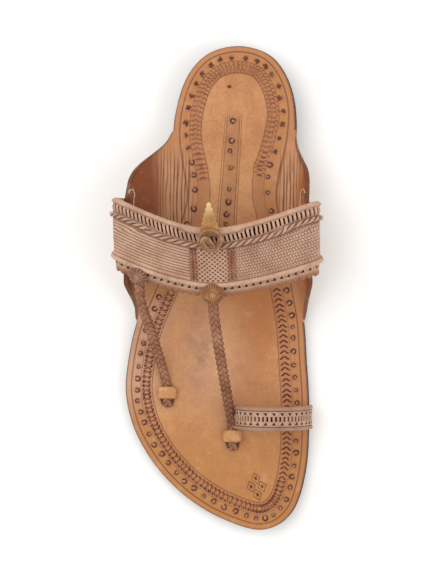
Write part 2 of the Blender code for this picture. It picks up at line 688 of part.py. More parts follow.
def make_knot(material):
    """One strand that coils round and folds back over itself, on the middle of the band's rear edge."""
    place, forward, up = band_frame(1, CREST_TURN, KNOT_ACROSS)
    sideways = np.cross(forward, up)
    base = INSOLE_THICKNESS + 3 * FIT_GAP + BAND_WALL + BAND_RELIEF + TAB_THICKNESS + KNOT_STRAND / 2
    table = np.array(KNOT_FOLDS) * KNOT_SIZE
    rows = np.arange(len(table))
    at = np.linspace(0, len(table) - 1, KNOT_STEPS)
    beside, ahead, above = (through(rows, table[:, column], at)[:, None] for column in range(3))
    route = place + beside * sideways + ahead * forward + (base + above) * up
    along = unit(np.gradient(route, axis=0))
    out = unit(np.cross(along, up))
    over = np.cross(out, along)
    share = np.linspace(-1, 1, len(at))
    thick = KNOT_STRAND / 2 * np.sqrt(np.clip(1 - share**20, 0.2, 1))
    turn = 2 * math.pi * np.arange(KNOT_SIDES) / KNOT_SIDES
    around = np.cos(turn)[:, None] * out[:, None] + np.sin(turn)[:, None] * over[:, None]
    return tube("knot", route[:, None] + around * thick[:, None, None], material)


def make_knot_tab(material):
    """Small pointed tab with a serrated edge, held between knot and band and pointing to the heel."""
    place, forward, up = band_frame(1, CREST_TURN, TAB_ACROSS)
    sideways = np.cross(forward, up)
    base = INSOLE_THICKNESS + 2 * FIT_GAP + BAND_WALL + BAND_RELIEF
    share = np.linspace(0, 1, 2 * TAB_TEETH + 1)
    tooth = np.where(np.arange(len(share)) % 2 == 1, TAB_TOOTH, 0.0) * TAB_WIDTH
    reach = TAB_WIDTH / 2 * (1 - share) + tooth + TAB_WIDTH * TAB_TIP
    middle = place - forward[None, :] * (share * TAB_LENGTH)[:, None]
    top = np.stack([middle + sideways * reach[:, None], middle - sideways * reach[:, None]], axis=1)
    top = top + up * (base + TAB_THICKNESS)
    return sheet("knot_tab", top, top - up * TAB_THICKNESS, material)


def make_bridge(name, end_x, end_y, material):
    """Raised loop of insole leather over the end of a braid."""
    centre_y = world_y(end_y / SOLE_LENGTH) - BRIDGE_BEFORE_TIP
    floor = insole_top(end_y / SOLE_LENGTH) + FIT_GAP
    y = np.array([centre_y - BRIDGE_LENGTH / 2, centre_y + BRIDGE_LENGTH / 2])
    angles = np.linspace(0, math.pi, 12)
    clear_width = BRAID_END_WIDTH / 2 + 2 * FIT_GAP
    clear_height = BRAID_END_THICKNESS + 2 * FIT_GAP
    grids = []
    for reach, rise in ((BRIDGE_WIDTH / 2, clear_height + BRIDGE_WALL), (clear_width, clear_height)):
        grid = np.zeros((len(angles), 2, 3))
        grid[..., 0] = (end_x + reach * np.sign(np.cos(angles)) * np.abs(np.cos(angles)) ** BRIDGE_ROUND)[:, None]
        grid[..., 1] = y[None, :]
        grid[..., 2] = floor + rise * (np.sin(angles) ** BRIDGE_ROUND)[:, None]
        grids.append(grid)
    return sheet(name, grids[0], grids[1], material)


def main():
    for old in list(bpy.data.objects):
        bpy.data.objects.remove(old, do_unlink=True)
    tan = leather("tan insole leather", (0.54, 0.29, 0.12), 0.55)
    brown = leather("brown outsole leather", (0.42, 0.22, 0.10), 0.70)
    rose = leather("braided strap leather", (0.50, 0.29, 0.19), 0.60)
    dark = leather("dark strand leather", (0.24, 0.11, 0.06), 0.50)
    gold = leather("gold thread tab", (0.62, 0.48, 0.25), 0.45)
    rubber = leather("black heel rubber", (0.02, 0.02, 0.022), 0.60)

    make_outsole(brown)
    make_heel(brown, rubber)
    make_insole(tan)
    band = make_band(rose)
    centre = ("centre_braid_form", CREST_TURN, CENTRE_BRAID_END_X, CENTRE_BRAID_END_Y, CENTRE_FALL)
    side = ("side_braid_form", SIDE_BRAID_TURN, SIDE_BRAID_END_X, SIDE_BRAID_END_Y, SIDE_FALL)
    parts = [make_braid(*centre, rose), make_braid(*side, rose), make_toe_loop("toe_loop_form", rose)]
    join_straps(band, parts)
    make_pinked_strip(rose)
    make_rosette("rosette_centre", CREST_TURN, ROSETTE_CENTRE_DIAMETER, rose)
    make_rosette("rosette_side", SIDE_BRAID_TURN, ROSETTE_SIDE_DIAMETER, rose)
    make_knot(dark)
    make_knot_tab(gold)
    make_bridge("bridge_centre", CENTRE_BRAID_END_X, CENTRE_BRAID_END_Y, tan)
    make_bridge("bridge_side", SIDE_BRAID_END_X, SIDE_BRAID_END_Y, tan)


main()
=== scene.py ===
# %% [markdown]
# # A kolhapuri sandal in Blender
# The right shoe of a pair, in hand-cut vegetable tanned leather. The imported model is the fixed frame: its
# solids say where everything is. Here each solid gets its looks, worked out as surfaces from the same
# sizes.

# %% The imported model
import math

import bmesh
import bpy
import numpy as np
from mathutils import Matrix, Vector


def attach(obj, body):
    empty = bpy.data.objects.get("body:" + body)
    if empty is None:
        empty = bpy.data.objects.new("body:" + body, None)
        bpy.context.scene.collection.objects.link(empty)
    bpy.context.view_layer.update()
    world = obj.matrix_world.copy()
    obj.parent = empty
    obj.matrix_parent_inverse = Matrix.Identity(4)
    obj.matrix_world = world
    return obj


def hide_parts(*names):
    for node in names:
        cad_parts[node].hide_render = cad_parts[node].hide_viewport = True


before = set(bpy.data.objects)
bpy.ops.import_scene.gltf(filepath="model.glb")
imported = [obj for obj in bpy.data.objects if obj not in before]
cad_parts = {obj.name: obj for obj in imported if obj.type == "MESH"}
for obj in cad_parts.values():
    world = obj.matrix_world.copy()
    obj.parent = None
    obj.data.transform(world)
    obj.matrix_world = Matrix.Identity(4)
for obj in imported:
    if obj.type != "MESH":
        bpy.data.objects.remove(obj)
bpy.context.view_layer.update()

# %% [markdown]
# ## Sizes of the shoe
# A shoemaker works round a last, the form of the foot. The sole's outline, the ears and the instep above
# them all follow from a few sizes and two tables, the same ones that the solids were made from. Everything
# is in metres, the toe points along +Y and the big toe's side is -X.

# %% Sizes
SOLE_LENGTH, BALL_WIDTH, HEEL_BACK_TO_REST = 0.290, 0.1120, 0.038
HEEL_CAP_THICKNESS, HEEL_LIFT_THICKNESS, OUTSOLE_THICKNESS, INSOLE_THICKNESS = 0.0052, 0.0060, 0.0045, 0.0028
TOE_SPRING, TOE_SPRING_START, SHANK_START, SHANK_END = 0.0040, 0.820, 0.345, 0.600
FIT_GAP, EDGE_BEVEL, INSOLE_INSET, HEEL_INSET = 0.0003, 0.0012, 0.0005, 0.0004
BREAST_LATERAL, BREAST_MEDIAL = 0.3175, 0.3330
LATERAL_REACH, MEDIAL_REACH, CREST_X = 0.0652, 0.0464, 0.0108
CREST_HEIGHT_REAR, CREST_HEIGHT_FRONT = 0.0460, 0.0345
WAIST_SHARE, EAR_LEAVE_ANGLE, EAR_LEAVE_SHARE, EAR_RISE_SHARE = 0.58, 20.0, 0.35, 0.45
EAR_TOP_LATERAL, EAR_TOP_MEDIAL = 0.78, 0.60
BAND_WALL, BAND_RELIEF, BAND_REAR_CREST, BAND_FRONT_CREST = 0.0018, 0.0010, 0.1100, 0.1464
BAND_REAR_FALL, BAND_FRONT_FALL, BAND_BOW, BAND_FOOT = (0.0185, 0.0160), (0.0150, 0.0120), 1.6, 0.30
STRIP_WALL, STRIP_START, SCALLOP_DEPTH, SCALLOP_PITCH = 0.0011, 0.805, 0.0022, 0.0041
BRAID_WIDTH, BRAID_END_WIDTH, BRAID_THICKNESS, BRAID_END_THICKNESS = 0.0064, 0.0055, 0.0034, 0.0022
CENTRE_BRAID_END, SIDE_BRAID_END, SIDE_BRAID_TURN = (0.0026, 0.2420), (0.0422, 0.2160), 1.44
LOOP_CENTRE_Y, LOOP_WIDTH, LOOP_WALL, LOOP_RELIEF, LOOP_HEIGHT = 0.2222, 0.0142, 0.0020, 0.0008, 0.0275
LOOP_TONGUE, LOOP_OVERLAP = 0.0080, 0.0013
ROSETTE_ACROSS, KNOT_ACROSS, KNOT_STRAND, KNOT_SIZE = 0.96, 0.09, 0.0028, 0.0055
TAB_ACROSS, TAB_LENGTH, TAB_WIDTH, TAB_THICKNESS = 0.05, 0.0205, 0.0115, 0.0010
BRIDGE_WIDTH, BRIDGE_LENGTH, BRIDGE_WALL = 0.0118, 0.0072, 0.0016
BRIDGE_BEFORE_TIP, BRIDGE_ROUND = 0.0082, 0.6
# The turn at the crest of the instep, and how far over the foot's surface the band lies, on the ears
CREST_TURN = 2.0
ON_INSOLE = INSOLE_THICKNESS + FIT_GAP

# %% Tables
# Rows: along share, lateral and medial half width as shares of the ball width
OUTLINE = np.array((
    (0.000, -0.009, 0.009), (0.018, 0.162, 0.179), (0.054, 0.251, 0.260), (0.109, 0.309, 0.311),
    (0.181, 0.338, 0.322), (0.254, 0.326, 0.306), (0.322, 0.303, 0.270), (0.400, 0.365, 0.290),
    (0.476, 0.444, 0.321), (0.580, 0.555, 0.362), (0.653, 0.595, 0.373), (0.707, 0.608, 0.383),
    (0.780, 0.574, 0.386), (0.853, 0.477, 0.378), (0.908, 0.356, 0.354), (0.961, 0.172, 0.302),
    (0.988, 0.016, 0.232), (1.000, -0.126, 0.126)))
# Rows: along share, lateral and medial ear height as shares of their tops
EARS = np.array((
    (0.175, 0.00, 0.00), (0.200, 0.17, 0.03), (0.218, 0.37, 0.20), (0.236, 0.58, 0.48), (0.254, 0.76, 0.77),
    (0.275, 0.89, 0.94), (0.300, 0.96, 1.00), (0.450, 1.00, 1.00), (0.490, 1.00, 0.97), (0.508, 0.80, 0.76),
    (0.526, 0.54, 0.52), (0.544, 0.28, 0.29), (0.567, 0.00, 0.00)))
# Rows: along share, how much further in than the sole's edge the tooling runs, lateral and medial
TOOLING = np.array((
    (0.14, 0.0, 0.0), (0.20, 0.0010, 0.0030), (0.26, 0.0032, 0.0068), (0.30, 0.0024, 0.0050),
    (0.345, 0.0005, 0.0010), (0.42, 0.0, 0.0)))
# Rows: share of the way from band to bridge, share of the height there
CENTRE_FALL = ((0.00, 1.00), (0.19, 0.87), (0.41, 0.65), (0.59, 0.42), (0.77, 0.20), (0.92, 0.04),
               (1.00, 0.00))
SIDE_FALL = ((0.00, 1.00), (0.15, 0.86), (0.32, 0.64), (0.55, 0.36), (0.75, 0.14), (0.91, 0.03), (1.00, 0.00))
# Rows: the knot's folds as shares of its size, to the medial side, to the front and up
KNOT_FOLDS = np.array((
    (0.80, 0.85, 0.00), (1.05, 0.10, 0.00), (0.62, -0.78, 0.02), (-0.20, -1.00, 0.04), (-0.92, -0.55, 0.04),
    (-1.05, 0.30, 0.04), (-0.62, 1.00, 0.08), (0.02, 1.12, 0.30), (0.42, 0.62, 0.58), (0.72, 0.02, 0.60),
    (0.50, -0.36, 0.60), (0.12, -0.22, 0.60), (-0.26, 0.30, 0.58), (-0.52, 0.74, 0.56)))
# Rows: across share of the instep band, height over its plain wall as a share of the relief
BAND_PROFILE = np.array((
    (0.000, -1.30), (0.008, -0.40), (0.018, 0.35), (0.029, 0.85), (0.041, 1.00), (0.052, 0.80), (0.061, 0.30),
    (0.070, 0.00), (0.088, 0.00), (0.112, 0.30), (0.136, 0.38), (0.160, 0.30), (0.184, 0.00), (0.198, 0.00),
    (0.216, -0.30), (0.240, -0.50), (0.264, -0.30), (0.280, 0.10), (0.790, 0.10), (0.798, -0.35),
    (0.806, 0.30),
    (0.820, 0.85), (0.838, 1.00), (0.856, 0.85), (0.868, 0.40), (0.876, -0.30), (0.880, -1.20)))
# Rows: across share of the toe loop, height over its plain wall as a share of the relief
LOOP_PROFILE = np.array((
    (0.000, -1.20), (0.012, -0.20), (0.035, 0.60), (0.065, 1.00), (0.100, 1.00), (0.130, 0.60), (0.155, 0.00),
    (0.170, -0.40), (0.190, 0.00), (0.240, 0.10), (0.300, 0.10), (0.360, 0.10), (0.400, 0.15), (0.420, 0.40),
    (0.470, 0.55), (0.530, 0.55), (0.580, 0.40), (0.600, 0.15), (0.640, 0.10), (0.700, 0.10), (0.760, 0.10),
    (0.810, 0.00), (0.830, -0.40), (0.845, 0.00), (0.870, 0.60), (0.900, 1.00), (0.935, 1.00), (0.965, 0.60),
    (0.988, -0.20), (1.000, -1.20)))

# %% [markdown]
# ## The last as a surface
# One function gives any point of the foot's surface: `along` runs from heel to toe, `side` is lateral or
# medial, and `turn` climbs from the sole's edge (0) over the widest place (1) to the crest of the instep
# (2). Ears, band, strip, lacing and stitches are all laid on it, so they fit each other by construction.

# %% Curves through tables
def ease(start, end, value):
    """0 before start, 1 after end and between them 3s² - 2s³, where s is the share of the way."""
    share = np.clip((value - start) / (end - start), 0.0, 1.0)
    return share * share * (3.0 - 2.0 * share)


def through(at, values, where):
    """A cubic through table rows, with each row's slope taken from its neighbours."""
    at, values, where = np.asarray(at), np.asarray(values), np.asarray(where, float)
    slope = np.gradient(values, at)
    row = np.clip(np.searchsorted(at, where) - 1, 0, len(at) - 2)
    step = at[row + 1] - at[row]
    share = np.clip((where - at[row]) / step, 0.0, 1.0)
    square, cube = share**2, share**3
    from_start = (2 * cube - 3 * square + 1) * values[row] + (cube - 2 * square + share) * step * slope[row]
    return from_start + (3 * square - 2 * cube) * values[row + 1] + (cube - square) * step * slope[row + 1]


def unit(vectors):
    """Each vector divided by its length."""
    return vectors / np.linalg.norm(vectors, axis=-1, keepdims=True)


def lengths(path):
    """Distance run along a line of points: the summed lengths of its steps."""
    return np.concatenate([[0.0], np.cumsum(np.linalg.norm(np.diff(path, axis=0), axis=1))])


# %% The sole
def sole_edges(along):
    """Lateral and medial x of the sole: a cubic through the table over the angle arccos(1 - 2 along)."""
    turn = np.arccos(np.clip(1.0 - 2.0 * np.asarray(along, float), -1.0, 1.0))
    at = np.arccos(1.0 - 2.0 * OUTLINE[:, 0])
    return through(at, OUTLINE[:, 1], turn) * BALL_WIDTH, -through(at, OUTLINE[:, 2], turn) * BALL_WIDTH


def outsole_bottom(along):
    """Height of the outsole's underside: level over the heel, eased down the shank, a parabola up at the
    toe."""
    heel = HEEL_CAP_THICKNESS + FIT_GAP + HEEL_LIFT_THICKNESS + FIT_GAP
    spring = np.clip((along - TOE_SPRING_START) / (1.0 - TOE_SPRING_START), 0.0, 1.0)
    return heel * (1.0 - ease(SHANK_START, SHANK_END, along)) + TOE_SPRING * spring**2


def insole_top(along):
    """Height of the face that the foot stands on: the layers below it added up."""
    return outsole_bottom(along) + OUTSOLE_THICKNESS + FIT_GAP + INSOLE_THICKNESS


def world_y(along):
    """Place along Y of a share of the sole's length."""
    return along * SOLE_LENGTH - HEEL_BACK_TO_REST


def share_of(y):
    """Share of the sole's length at a place along Y."""
    return (y + HEEL_BACK_TO_REST) / SOLE_LENGTH


# %% The foot above it
def last_point(along, side, turn):
    """A point of the foot's surface. Up to turn 1 a cubic with four handles leaves the sole's edge at a low
    angle and arrives upright at the widest place; from 1 to 2 a quarter of an ellipse closes over the
    instep."""
    along, side, turn = np.broadcast_arrays(np.asarray(along, float), side, np.asarray(turn, float))
    lateral, medial = sole_edges(along)
    half = np.maximum((lateral - medial) / 2 - INSOLE_INSET, 0.0)
    edge = (lateral + medial) / 2 + side * half
    wide = np.where(side > 0, LATERAL_REACH, -MEDIAL_REACH)
    share = (along * SOLE_LENGTH - BAND_REAR_CREST) / (BAND_FRONT_CREST - BAND_REAR_CREST)
    crest = CREST_HEIGHT_REAR - (CREST_HEIGHT_REAR - CREST_HEIGHT_FRONT) * np.maximum(share, 0.0)
    waist = crest * WAIST_SHARE
    leave, handle = math.radians(EAR_LEAVE_ANGLE), (wide - edge) * EAR_LEAVE_SHARE
    u = np.clip(turn, 0.0, 1.0)
    first, second, third = 3 * u * (1 - u) ** 2, 3 * u**2 * (1 - u), u**3
    low_x = edge + first * handle * math.cos(leave) + (second + third) * (wide - edge)
    low_z = first * abs(handle) * math.sin(leave) + second * waist * (1 - EAR_RISE_SHARE) + third * waist
    angle = np.clip(turn - 1.0, 0.0, 1.0) * math.pi / 2
    x = np.where(turn < 1, low_x, CREST_X + (wide - CREST_X) * np.cos(angle))
    z = np.where(turn < 1, low_z, waist + (crest - waist) * np.sin(angle)) + insole_top(along)
    return np.stack([x, world_y(along), z], axis=-1)


def band_point(side, turn, across):
    """A point of the foot's surface under the instep band, across 0 at its rear edge and 1 at the strip's
    front. Both edges fall back from the crest by the cosine of the turn to a power."""
    side, turn, across = np.broadcast_arrays(side, np.asarray(turn, float), np.asarray(across, float))
    drop = np.cos(np.clip(turn - 1.0, 0.0, 1.0) * math.pi / 2) ** BAND_BOW
    rear = BAND_REAR_CREST - drop * np.where(side > 0, *BAND_REAR_FALL)
    front = BAND_FRONT_CREST - drop * np.where(side > 0, *BAND_FRONT_FALL)
    return last_point((rear + (front - rear) * across) / SOLE_LENGTH, side, turn)


BAND_TURNS = np.linspace(BAND_FOOT, CREST_TURN, 400)
LATERAL_RUN, MEDIAL_RUN = (lengths(band_point(side, BAND_TURNS, 0.5)) for side in (1, -1))
BAND_TOTAL = LATERAL_RUN[-1] + MEDIAL_RUN[-1]
BAND_ACROSS = BAND_FRONT_CREST - BAND_REAR_CREST


def band_surface(at, across):
    """A point of the foot's surface at a distance along the band from its lateral foot."""
    lateral = at <= LATERAL_RUN[-1]
    up, down = np.interp(at, LATERAL_RUN, BAND_TURNS), np.interp(BAND_TOTAL - at, MEDIAL_RUN, BAND_TURNS)
    return band_point(np.where(lateral, 1, -1), np.where(lateral, up, down), across)


def over_band(at, across, height):
    """Points at a height over that surface, and the outward directions there: the cross product of its
    slopes."""
    at, across, height = np.broadcast_arrays(at, across, height)
    ahead = band_surface(at, across + 0.01) - band_surface(at, across - 0.01)
    sideways = band_surface(at + 0.0003, across) - band_surface(at - 0.0003, across)
    outward = unit(np.cross(ahead, sideways))
    return band_surface(at, across) + outward * height[..., None], outward


print("band from foot to foot", round(BAND_TOTAL * 1000), "mm")

# %% [markdown]
# ## From arrays to meshes
# Three ways of closing a shape are enough for a sandal: a wall between two grids, a section carried along a
# path, and one small shape copied many times. Each ends as one array of points and one of four-cornered
# faces.

# %% Faces of a grid
def grid_faces(rows, columns, wrap_rows=False, wrap_columns=False):
    """Corner numbers of the cells of a grid; a wrapped side joins its last line to its first."""
    i, j = np.mgrid[0:rows - (not wrap_rows), 0:columns - (not wrap_columns)].reshape(2, -1)
    row, following_row, following = i * columns, (i + 1) % rows * columns, (j + 1) % columns
    return np.stack([row + j, following_row + j, following_row + following, row + following], axis=1)


FIRST_COLUMN, LAST_ROW, LAST_COLUMN, FIRST_ROW = range(4)


def wall(outer, inner, keep=None, joined=()):
    """A closed wall between two grids. keep says which cells are leather; the others stay open. Each cell
    side that has no leather beside it gets a face from the outer to the inner grid, but for the sides of
    the whole grid that are joined, because they lie on another part of it."""
    rows, columns = outer.shape[:2]
    below = rows * columns
    number = np.arange(below).reshape(rows, columns)
    solid = np.zeros((rows + 1, columns + 1), bool)
    solid[1:rows, 1:columns] = True if keep is None else keep
    i, j = np.nonzero(solid[1:rows, 1:columns])
    ring = np.stack([number[i, j], number[i + 1, j], number[i + 1, j + 1], number[i, j + 1]], axis=1)
    faces = [ring, ring[:, ::-1] + below]
    for side, (down, right) in enumerate(((0, -1), (1, 0), (0, 1), (-1, 0))):
        bare = ~solid[i + 1 + down, j + 1 + right]
        if side in joined:
            bare &= (j > 0, i < rows - 2, j < columns - 2, i > 0)[side]
        start, end = ring[bare, side], ring[bare, (side + 1) % 4]
        faces.append(np.stack([end, start, start + below, end + below], axis=1))
    return np.concatenate([outer.reshape(-1, 3), inner.reshape(-1, 3)]), np.concatenate(faces)


def across_path(path, ups):
    """The directions beside and above each point of a path."""
    ahead = unit(np.gradient(path, axis=0))
    side = unit(np.cross(ahead, ups))
    return side, np.cross(side, ahead)


def sweep(path, ups, beside, above):
    """A closed body: sections of offsets beside and above each point of a path, drawn together at both
    ends."""
    side, up = across_path(path, ups)
    rings = path[:, None] + side[:, None] * beside[..., None] + up[:, None] * above[..., None]
    ends = [np.repeat(rings[k].mean(axis=0)[None, None], rings.shape[1], axis=1) for k in (0, -1)]
    rings = np.concatenate([ends[0], rings, ends[1]])
    return rings.reshape(-1, 3), grid_faces(*rings.shape[:2], wrap_columns=True)


def around(sides):
    """Angles spaced evenly round a circle."""
    return np.arange(sides) * 2 * math.pi / sides


def round_bar(path, ups, radius, sides):
    """A bar of round section along a path; the radius may change from point to point."""
    turn, radius = around(sides), np.broadcast_to(radius, len(path))[:, None]
    return sweep(path, np.broadcast_to(ups, path.shape), radius * np.cos(turn), radius * np.sin(turn))


def smooth_line(at, points, where):
    """The cubic through a line's points, axis by axis."""
    return np.stack([through(at, points[:, axis], where) for axis in range(3)], axis=-1)


def together(shapes):
    """Several shapes as one."""
    starts = np.cumsum([0] + [len(points) for points, _ in shapes])
    return (np.concatenate([points for points, _ in shapes]),
            np.concatenate([faces + start for (_, faces), start in zip(shapes, starts)]))


def copies(shape, places, axes, sizes):
    """Many copies of a small shape: place + size · point, along three axes for each copy. One size may
    serve all."""
    points, faces = shape
    sizes = np.broadcast_to(sizes, (len(places), 3))
    moved = places[:, None] + np.einsum("kpa,kab->kpb", points[None] * sizes[:, None], axes)
    numbers = np.arange(len(places))[:, None, None] * len(points)
    return moved.reshape(-1, 3), (faces[None] + numbers).reshape(-1, 4)


def on_both(values):
    """The same values for both sides of a wall."""
    return np.stack([values, values])


# %% The mesh and its object
# Slot of each part's material; the parts that aren't named here are strap leather. piece looks the slot up
# but does not set it.
SLOTS = {"outsole": "outsole_leather", "heel_lift": "outsole_leather", "heel_cap": "heel_rubber",
         "insole": "insole_leather", "bridge_centre": "insole_leather", "bridge_side": "insole_leather",
         "knot_tab": "gold_tab"}


def piece(name, shape, material, node, uv=None, values=None, sharp=45):
    """An object in the sandal's own frame from points and faces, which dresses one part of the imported
    model, with flat maps and values for its material. Points that nothing uses go, doubles are merged and
    faces turned outward."""
    slot, nodes = SLOTS.get(node, "strap_leather"), [node]
    points, faces = shape
    used, faces = np.unique(faces, return_inverse=True)
    faces = faces.reshape(-1, 4)
    mesh = bpy.data.meshes.new(name)
    mesh.from_pydata(points[used], [], faces)
    for label, flat in (uv or {}).items():
        layer = mesh.uv_layers.new(name=label)
        layer.data.foreach_set("uv", flat.reshape(-1, 2)[used][faces.ravel()].ravel())
    for label, value in (values or {}).items():
        layer = mesh.attributes.new(label, "FLOAT", "POINT")
        layer.data.foreach_set("value", value.ravel()[used])
    work = bmesh.new()
    work.from_mesh(mesh)
    bmesh.ops.remove_doubles(work, verts=work.verts, dist=1e-6)
    bmesh.ops.recalc_face_normals(work, faces=work.faces)
    work.to_mesh(mesh)
    work.free()
    mesh.materials.append(material)
    mesh.shade_smooth()
    mesh.set_sharp_from_angle(angle=math.radians(sharp))
    made = bpy.data.objects.new(name, mesh)
    bpy.context.collection.objects.link(made)
    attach(made, "root")
    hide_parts(*nodes)
    triangles = sum(len(face.vertices) - 2 for face in mesh.polygons)
    print(f"{name}: {triangles} triangles, {np.round(np.ptp(points[used], axis=0) * 1000, 1)} mm")


# %% [markdown]
# ## Leather
# Vegetable tanned leather has a soft cloud of tones from the hide and the tanner's dye, a grain of fine
# cells under a millimetre, and a dull gloss that is stronger where it was rubbed. One function builds that;
# each piece then adds its own tooling, weave or wear.

# %% Colours and nodes
def linear(colour):
    """An sRGB hex colour as linear light: c/12.92 in the dark, else ((c + 0.055)/1.055) to the power 2.4."""
    share = np.array([int(colour[i:i + 2], 16) for i in (1, 3, 5)]) / 255
    return (*np.where(share <= 0.04045, share / 12.92, ((share + 0.055) / 1.055) ** 2.4).tolist(), 1.0)


def add(tree, kind, inputs=None, stops=None, **settings):
    """One node. inputs are values, nodes or (node, output) by socket; stops are a ramp's places and
    colours."""
    node = tree.nodes.new("ShaderNode" + kind)
    for label, value in settings.items():
        setattr(node, label, value)
    for socket, value in (inputs or {}).items():
        if isinstance(value, bpy.types.Node):
            value = (value, 0)
        if isinstance(value, tuple) and isinstance(value[0], bpy.types.Node):
            tree.links.new(value[0].outputs[value[1]], node.inputs[socket])
        else:
            node.inputs[socket].default_value = value
    for number, (place, colour) in enumerate(stops or ()):
        elements = node.color_ramp.elements
        stop = elements[number] if number < 2 else elements.new(place)
        stop.position = place
        stop.color = colour if isinstance(colour, tuple) else (colour, colour, colour, 1.0)
    return node


def work_out(tree, operation, *inputs, **settings):
    """A math node by the name of its operation, with its inputs in order."""
    return add(tree, "Math", dict(enumerate(inputs)), operation=operation, **settings)


def spread(tree, value, start, end, low=0.0, high=1.0):
    """A value from start to end spread over low to high, and held at those beyond."""
    return add(tree, "MapRange", dict(enumerate((value, start, end, low, high))))


def attribute(tree, label):
    """A piece's own value of that name."""
    return add(tree, "Attribute", attribute_name=label), "Fac"


def flat_map(tree, label):
    """A piece's own flat map of that name, parted into its two ways."""
    return add(tree, "SeparateXYZ", {0: add(tree, "UVMap", uv_map=label)})


def basket(tree, flat, pitches):
    """Sine times sine along the two ways of a flat map: where strands of a basket weave lie high and low."""
    waves = [work_out(tree, "SINE", work_out(tree, "MULTIPLY", (flat, axis), 2 * math.pi / pitch))
             for axis, pitch in enumerate(pitches)]
    return work_out(tree, "MULTIPLY", *waves)


def leather(name, dark, middle, light, mottle=0.022, grain=0.0007, depth=0.00010, rough=0.55, streak=1.0):
    """Leather with clouds of tone mottle wide, stretched along Y by streak, and a grain of cells grain
    wide. Returns the material, its tree, the colour and the height so far and the place, for finish_leather
    to close."""
    material = bpy.data.materials.new(name)
    material.use_nodes = True
    tree = material.node_tree
    place = add(tree, "TexCoord"), "Object"
    stretched = add(tree, "Mapping", {0: place, 3: (1.0, 1.0 / streak, 1.0)})
    clouds = add(tree, "TexNoise", {"Vector": stretched, "Scale": 1 / mottle, "Detail": 5.0,
                                    "Roughness": 0.62})
    tones = [(0.30, linear(dark)), (0.72, linear(light)), (0.50, linear(middle))]
    tone = add(tree, "ValToRGB", {0: clouds}, stops=tones)
    cells = add(tree, "TexVoronoi", {"Vector": place, "Scale": 1 / grain}, feature="SMOOTH_F1")
    pores = add(tree, "TexNoise", {"Vector": place, "Scale": 0.45 / grain, "Detail": 4.0})
    speck = add(tree, "ValToRGB", {0: pores}, stops=[(0.36, (0.86, 0.80, 0.76, 1.0)), (0.60, 1.0)])
    colour = add(tree, "Mix", {0: 0.8, 6: tone, 7: speck}, data_type="RGBA", blend_type="MULTIPLY"), 2
    gloss = spread(tree, clouds, 0.3, 0.7, rough + 0.08, rough - 0.08)
    tree.links.new(gloss.outputs[0], tree.nodes["Principled BSDF"].inputs["Roughness"])
    return {"material": material, "tree": tree, "colour": colour,
            "height": work_out(tree, "ADD", cells, pores), "place": place, "depth": depth}


def stain(made, amount, colour):
    """Lays a colour over what is there by an amount, a node's output."""
    made["colour"] = add(made["tree"], "Mix", {0: amount, 6: made["colour"], 7: linear(colour)},
                         data_type="RGBA"), 2


def press(made, amount, by):
    """Adds amount times by, in grain depths, to the height."""
    made["height"] = work_out(made["tree"], "MULTIPLY_ADD", amount, by, made["height"])


def finish_leather(made, sheen=0.0, coat=0.0):
    """Joins colour and height to the shader and gives the material back."""
    tree = made["tree"]
    shader = tree.nodes["Principled BSDF"]
    bump = add(tree, "Bump", {"Strength": 0.8, "Distance": made["depth"], "Height": made["height"]})
    tree.links.new(bump.outputs[0], shader.inputs["Normal"])
    tree.links.new(made["colour"][0].outputs[made["colour"][1]], shader.inputs["Base Color"])
    for label, value in (("IOR", 1.47), ("Specular IOR Level", 0.22), ("Sheen Weight", sheen),
                         ("Coat Weight", coat), ("Coat Roughness", 0.35)):
        shader.inputs[label].default_value = value
    return made["material"]


def plain_leather(name, dark, middle, light, shade_and_dark_edge=None, coat=0.0, **settings):
    """Leather with nothing more on it than a second colour laid on by a value of the piece, where one is
    given: painted shade in its hollows and undersides, or a darker edge.
    """
    made = leather(name, dark, middle, light, **settings)
    if shade_and_dark_edge:
        stain(made, attribute(made["tree"], "shade_and_dark_edge"), shade_and_dark_edge)
    return finish_leather(made, coat=coat)


# %% [markdown]
# ## The insole
# One piece of tan leather, cut with two flaps that are bent up beside the foot: the ears. Its grid is made
# of spokes that run from the edge to a spine along the middle, so its lines follow the edge, as the tooling
# does. A groove runs 3.5 mm inside the edge, and two scribed lines hold the band of stamps.

# %% The edge as a line
EDGE_STEPS = 900
half_turn = np.linspace(0, math.pi, EDGE_STEPS)
edge_along = (1 - np.cos(np.concatenate([half_turn, half_turn[-2:0:-1]]))) / 2
edge_side = np.concatenate([np.ones(EDGE_STEPS), -np.ones(EDGE_STEPS - 2)])
edge_line = last_point(edge_along, edge_side, 0.0)[:, :2]
edge_ahead = unit(np.roll(edge_line, -1, 0) - np.roll(edge_line, 1, 0))
edge_inward = np.stack([-edge_ahead[:, 1], edge_ahead[:, 0]], axis=-1)
edge_run = lengths(edge_line)
STUD_INSET = 0.0069


def tooling_pinch(along, side):
    """How much further in the tooling runs: the table, read straight."""
    return np.where(side > 0, *(np.interp(along, TOOLING[:, 0], TOOLING[:, column]) for column in (1, 2)))


def border_place(points):
    """Run along the sole's edge and tooling distance in from it. The nearest edge point is found by trial;
    up to the studs the pinch stretches the distance, past them it is taken off."""
    flat = points.reshape(-1, 3)[:, :2]
    near = np.concatenate([((part[:, None] - edge_line) ** 2).sum(-1).argmin(1)
                           for part in np.array_split(flat, 80)])
    away = flat - edge_line[near]
    run = edge_run[near] + (away * edge_ahead[near]).sum(-1)
    inset = (away * edge_inward[near]).sum(-1)
    pinch = tooling_pinch(edge_along[near], edge_side[near])
    tooled = np.where(inset < STUD_INSET + pinch, inset * STUD_INSET / (STUD_INSET + pinch), inset - pinch)
    return run.reshape(points.shape[:-1]), inset.reshape(points.shape[:-1]), tooled.reshape(points.shape[:-1])


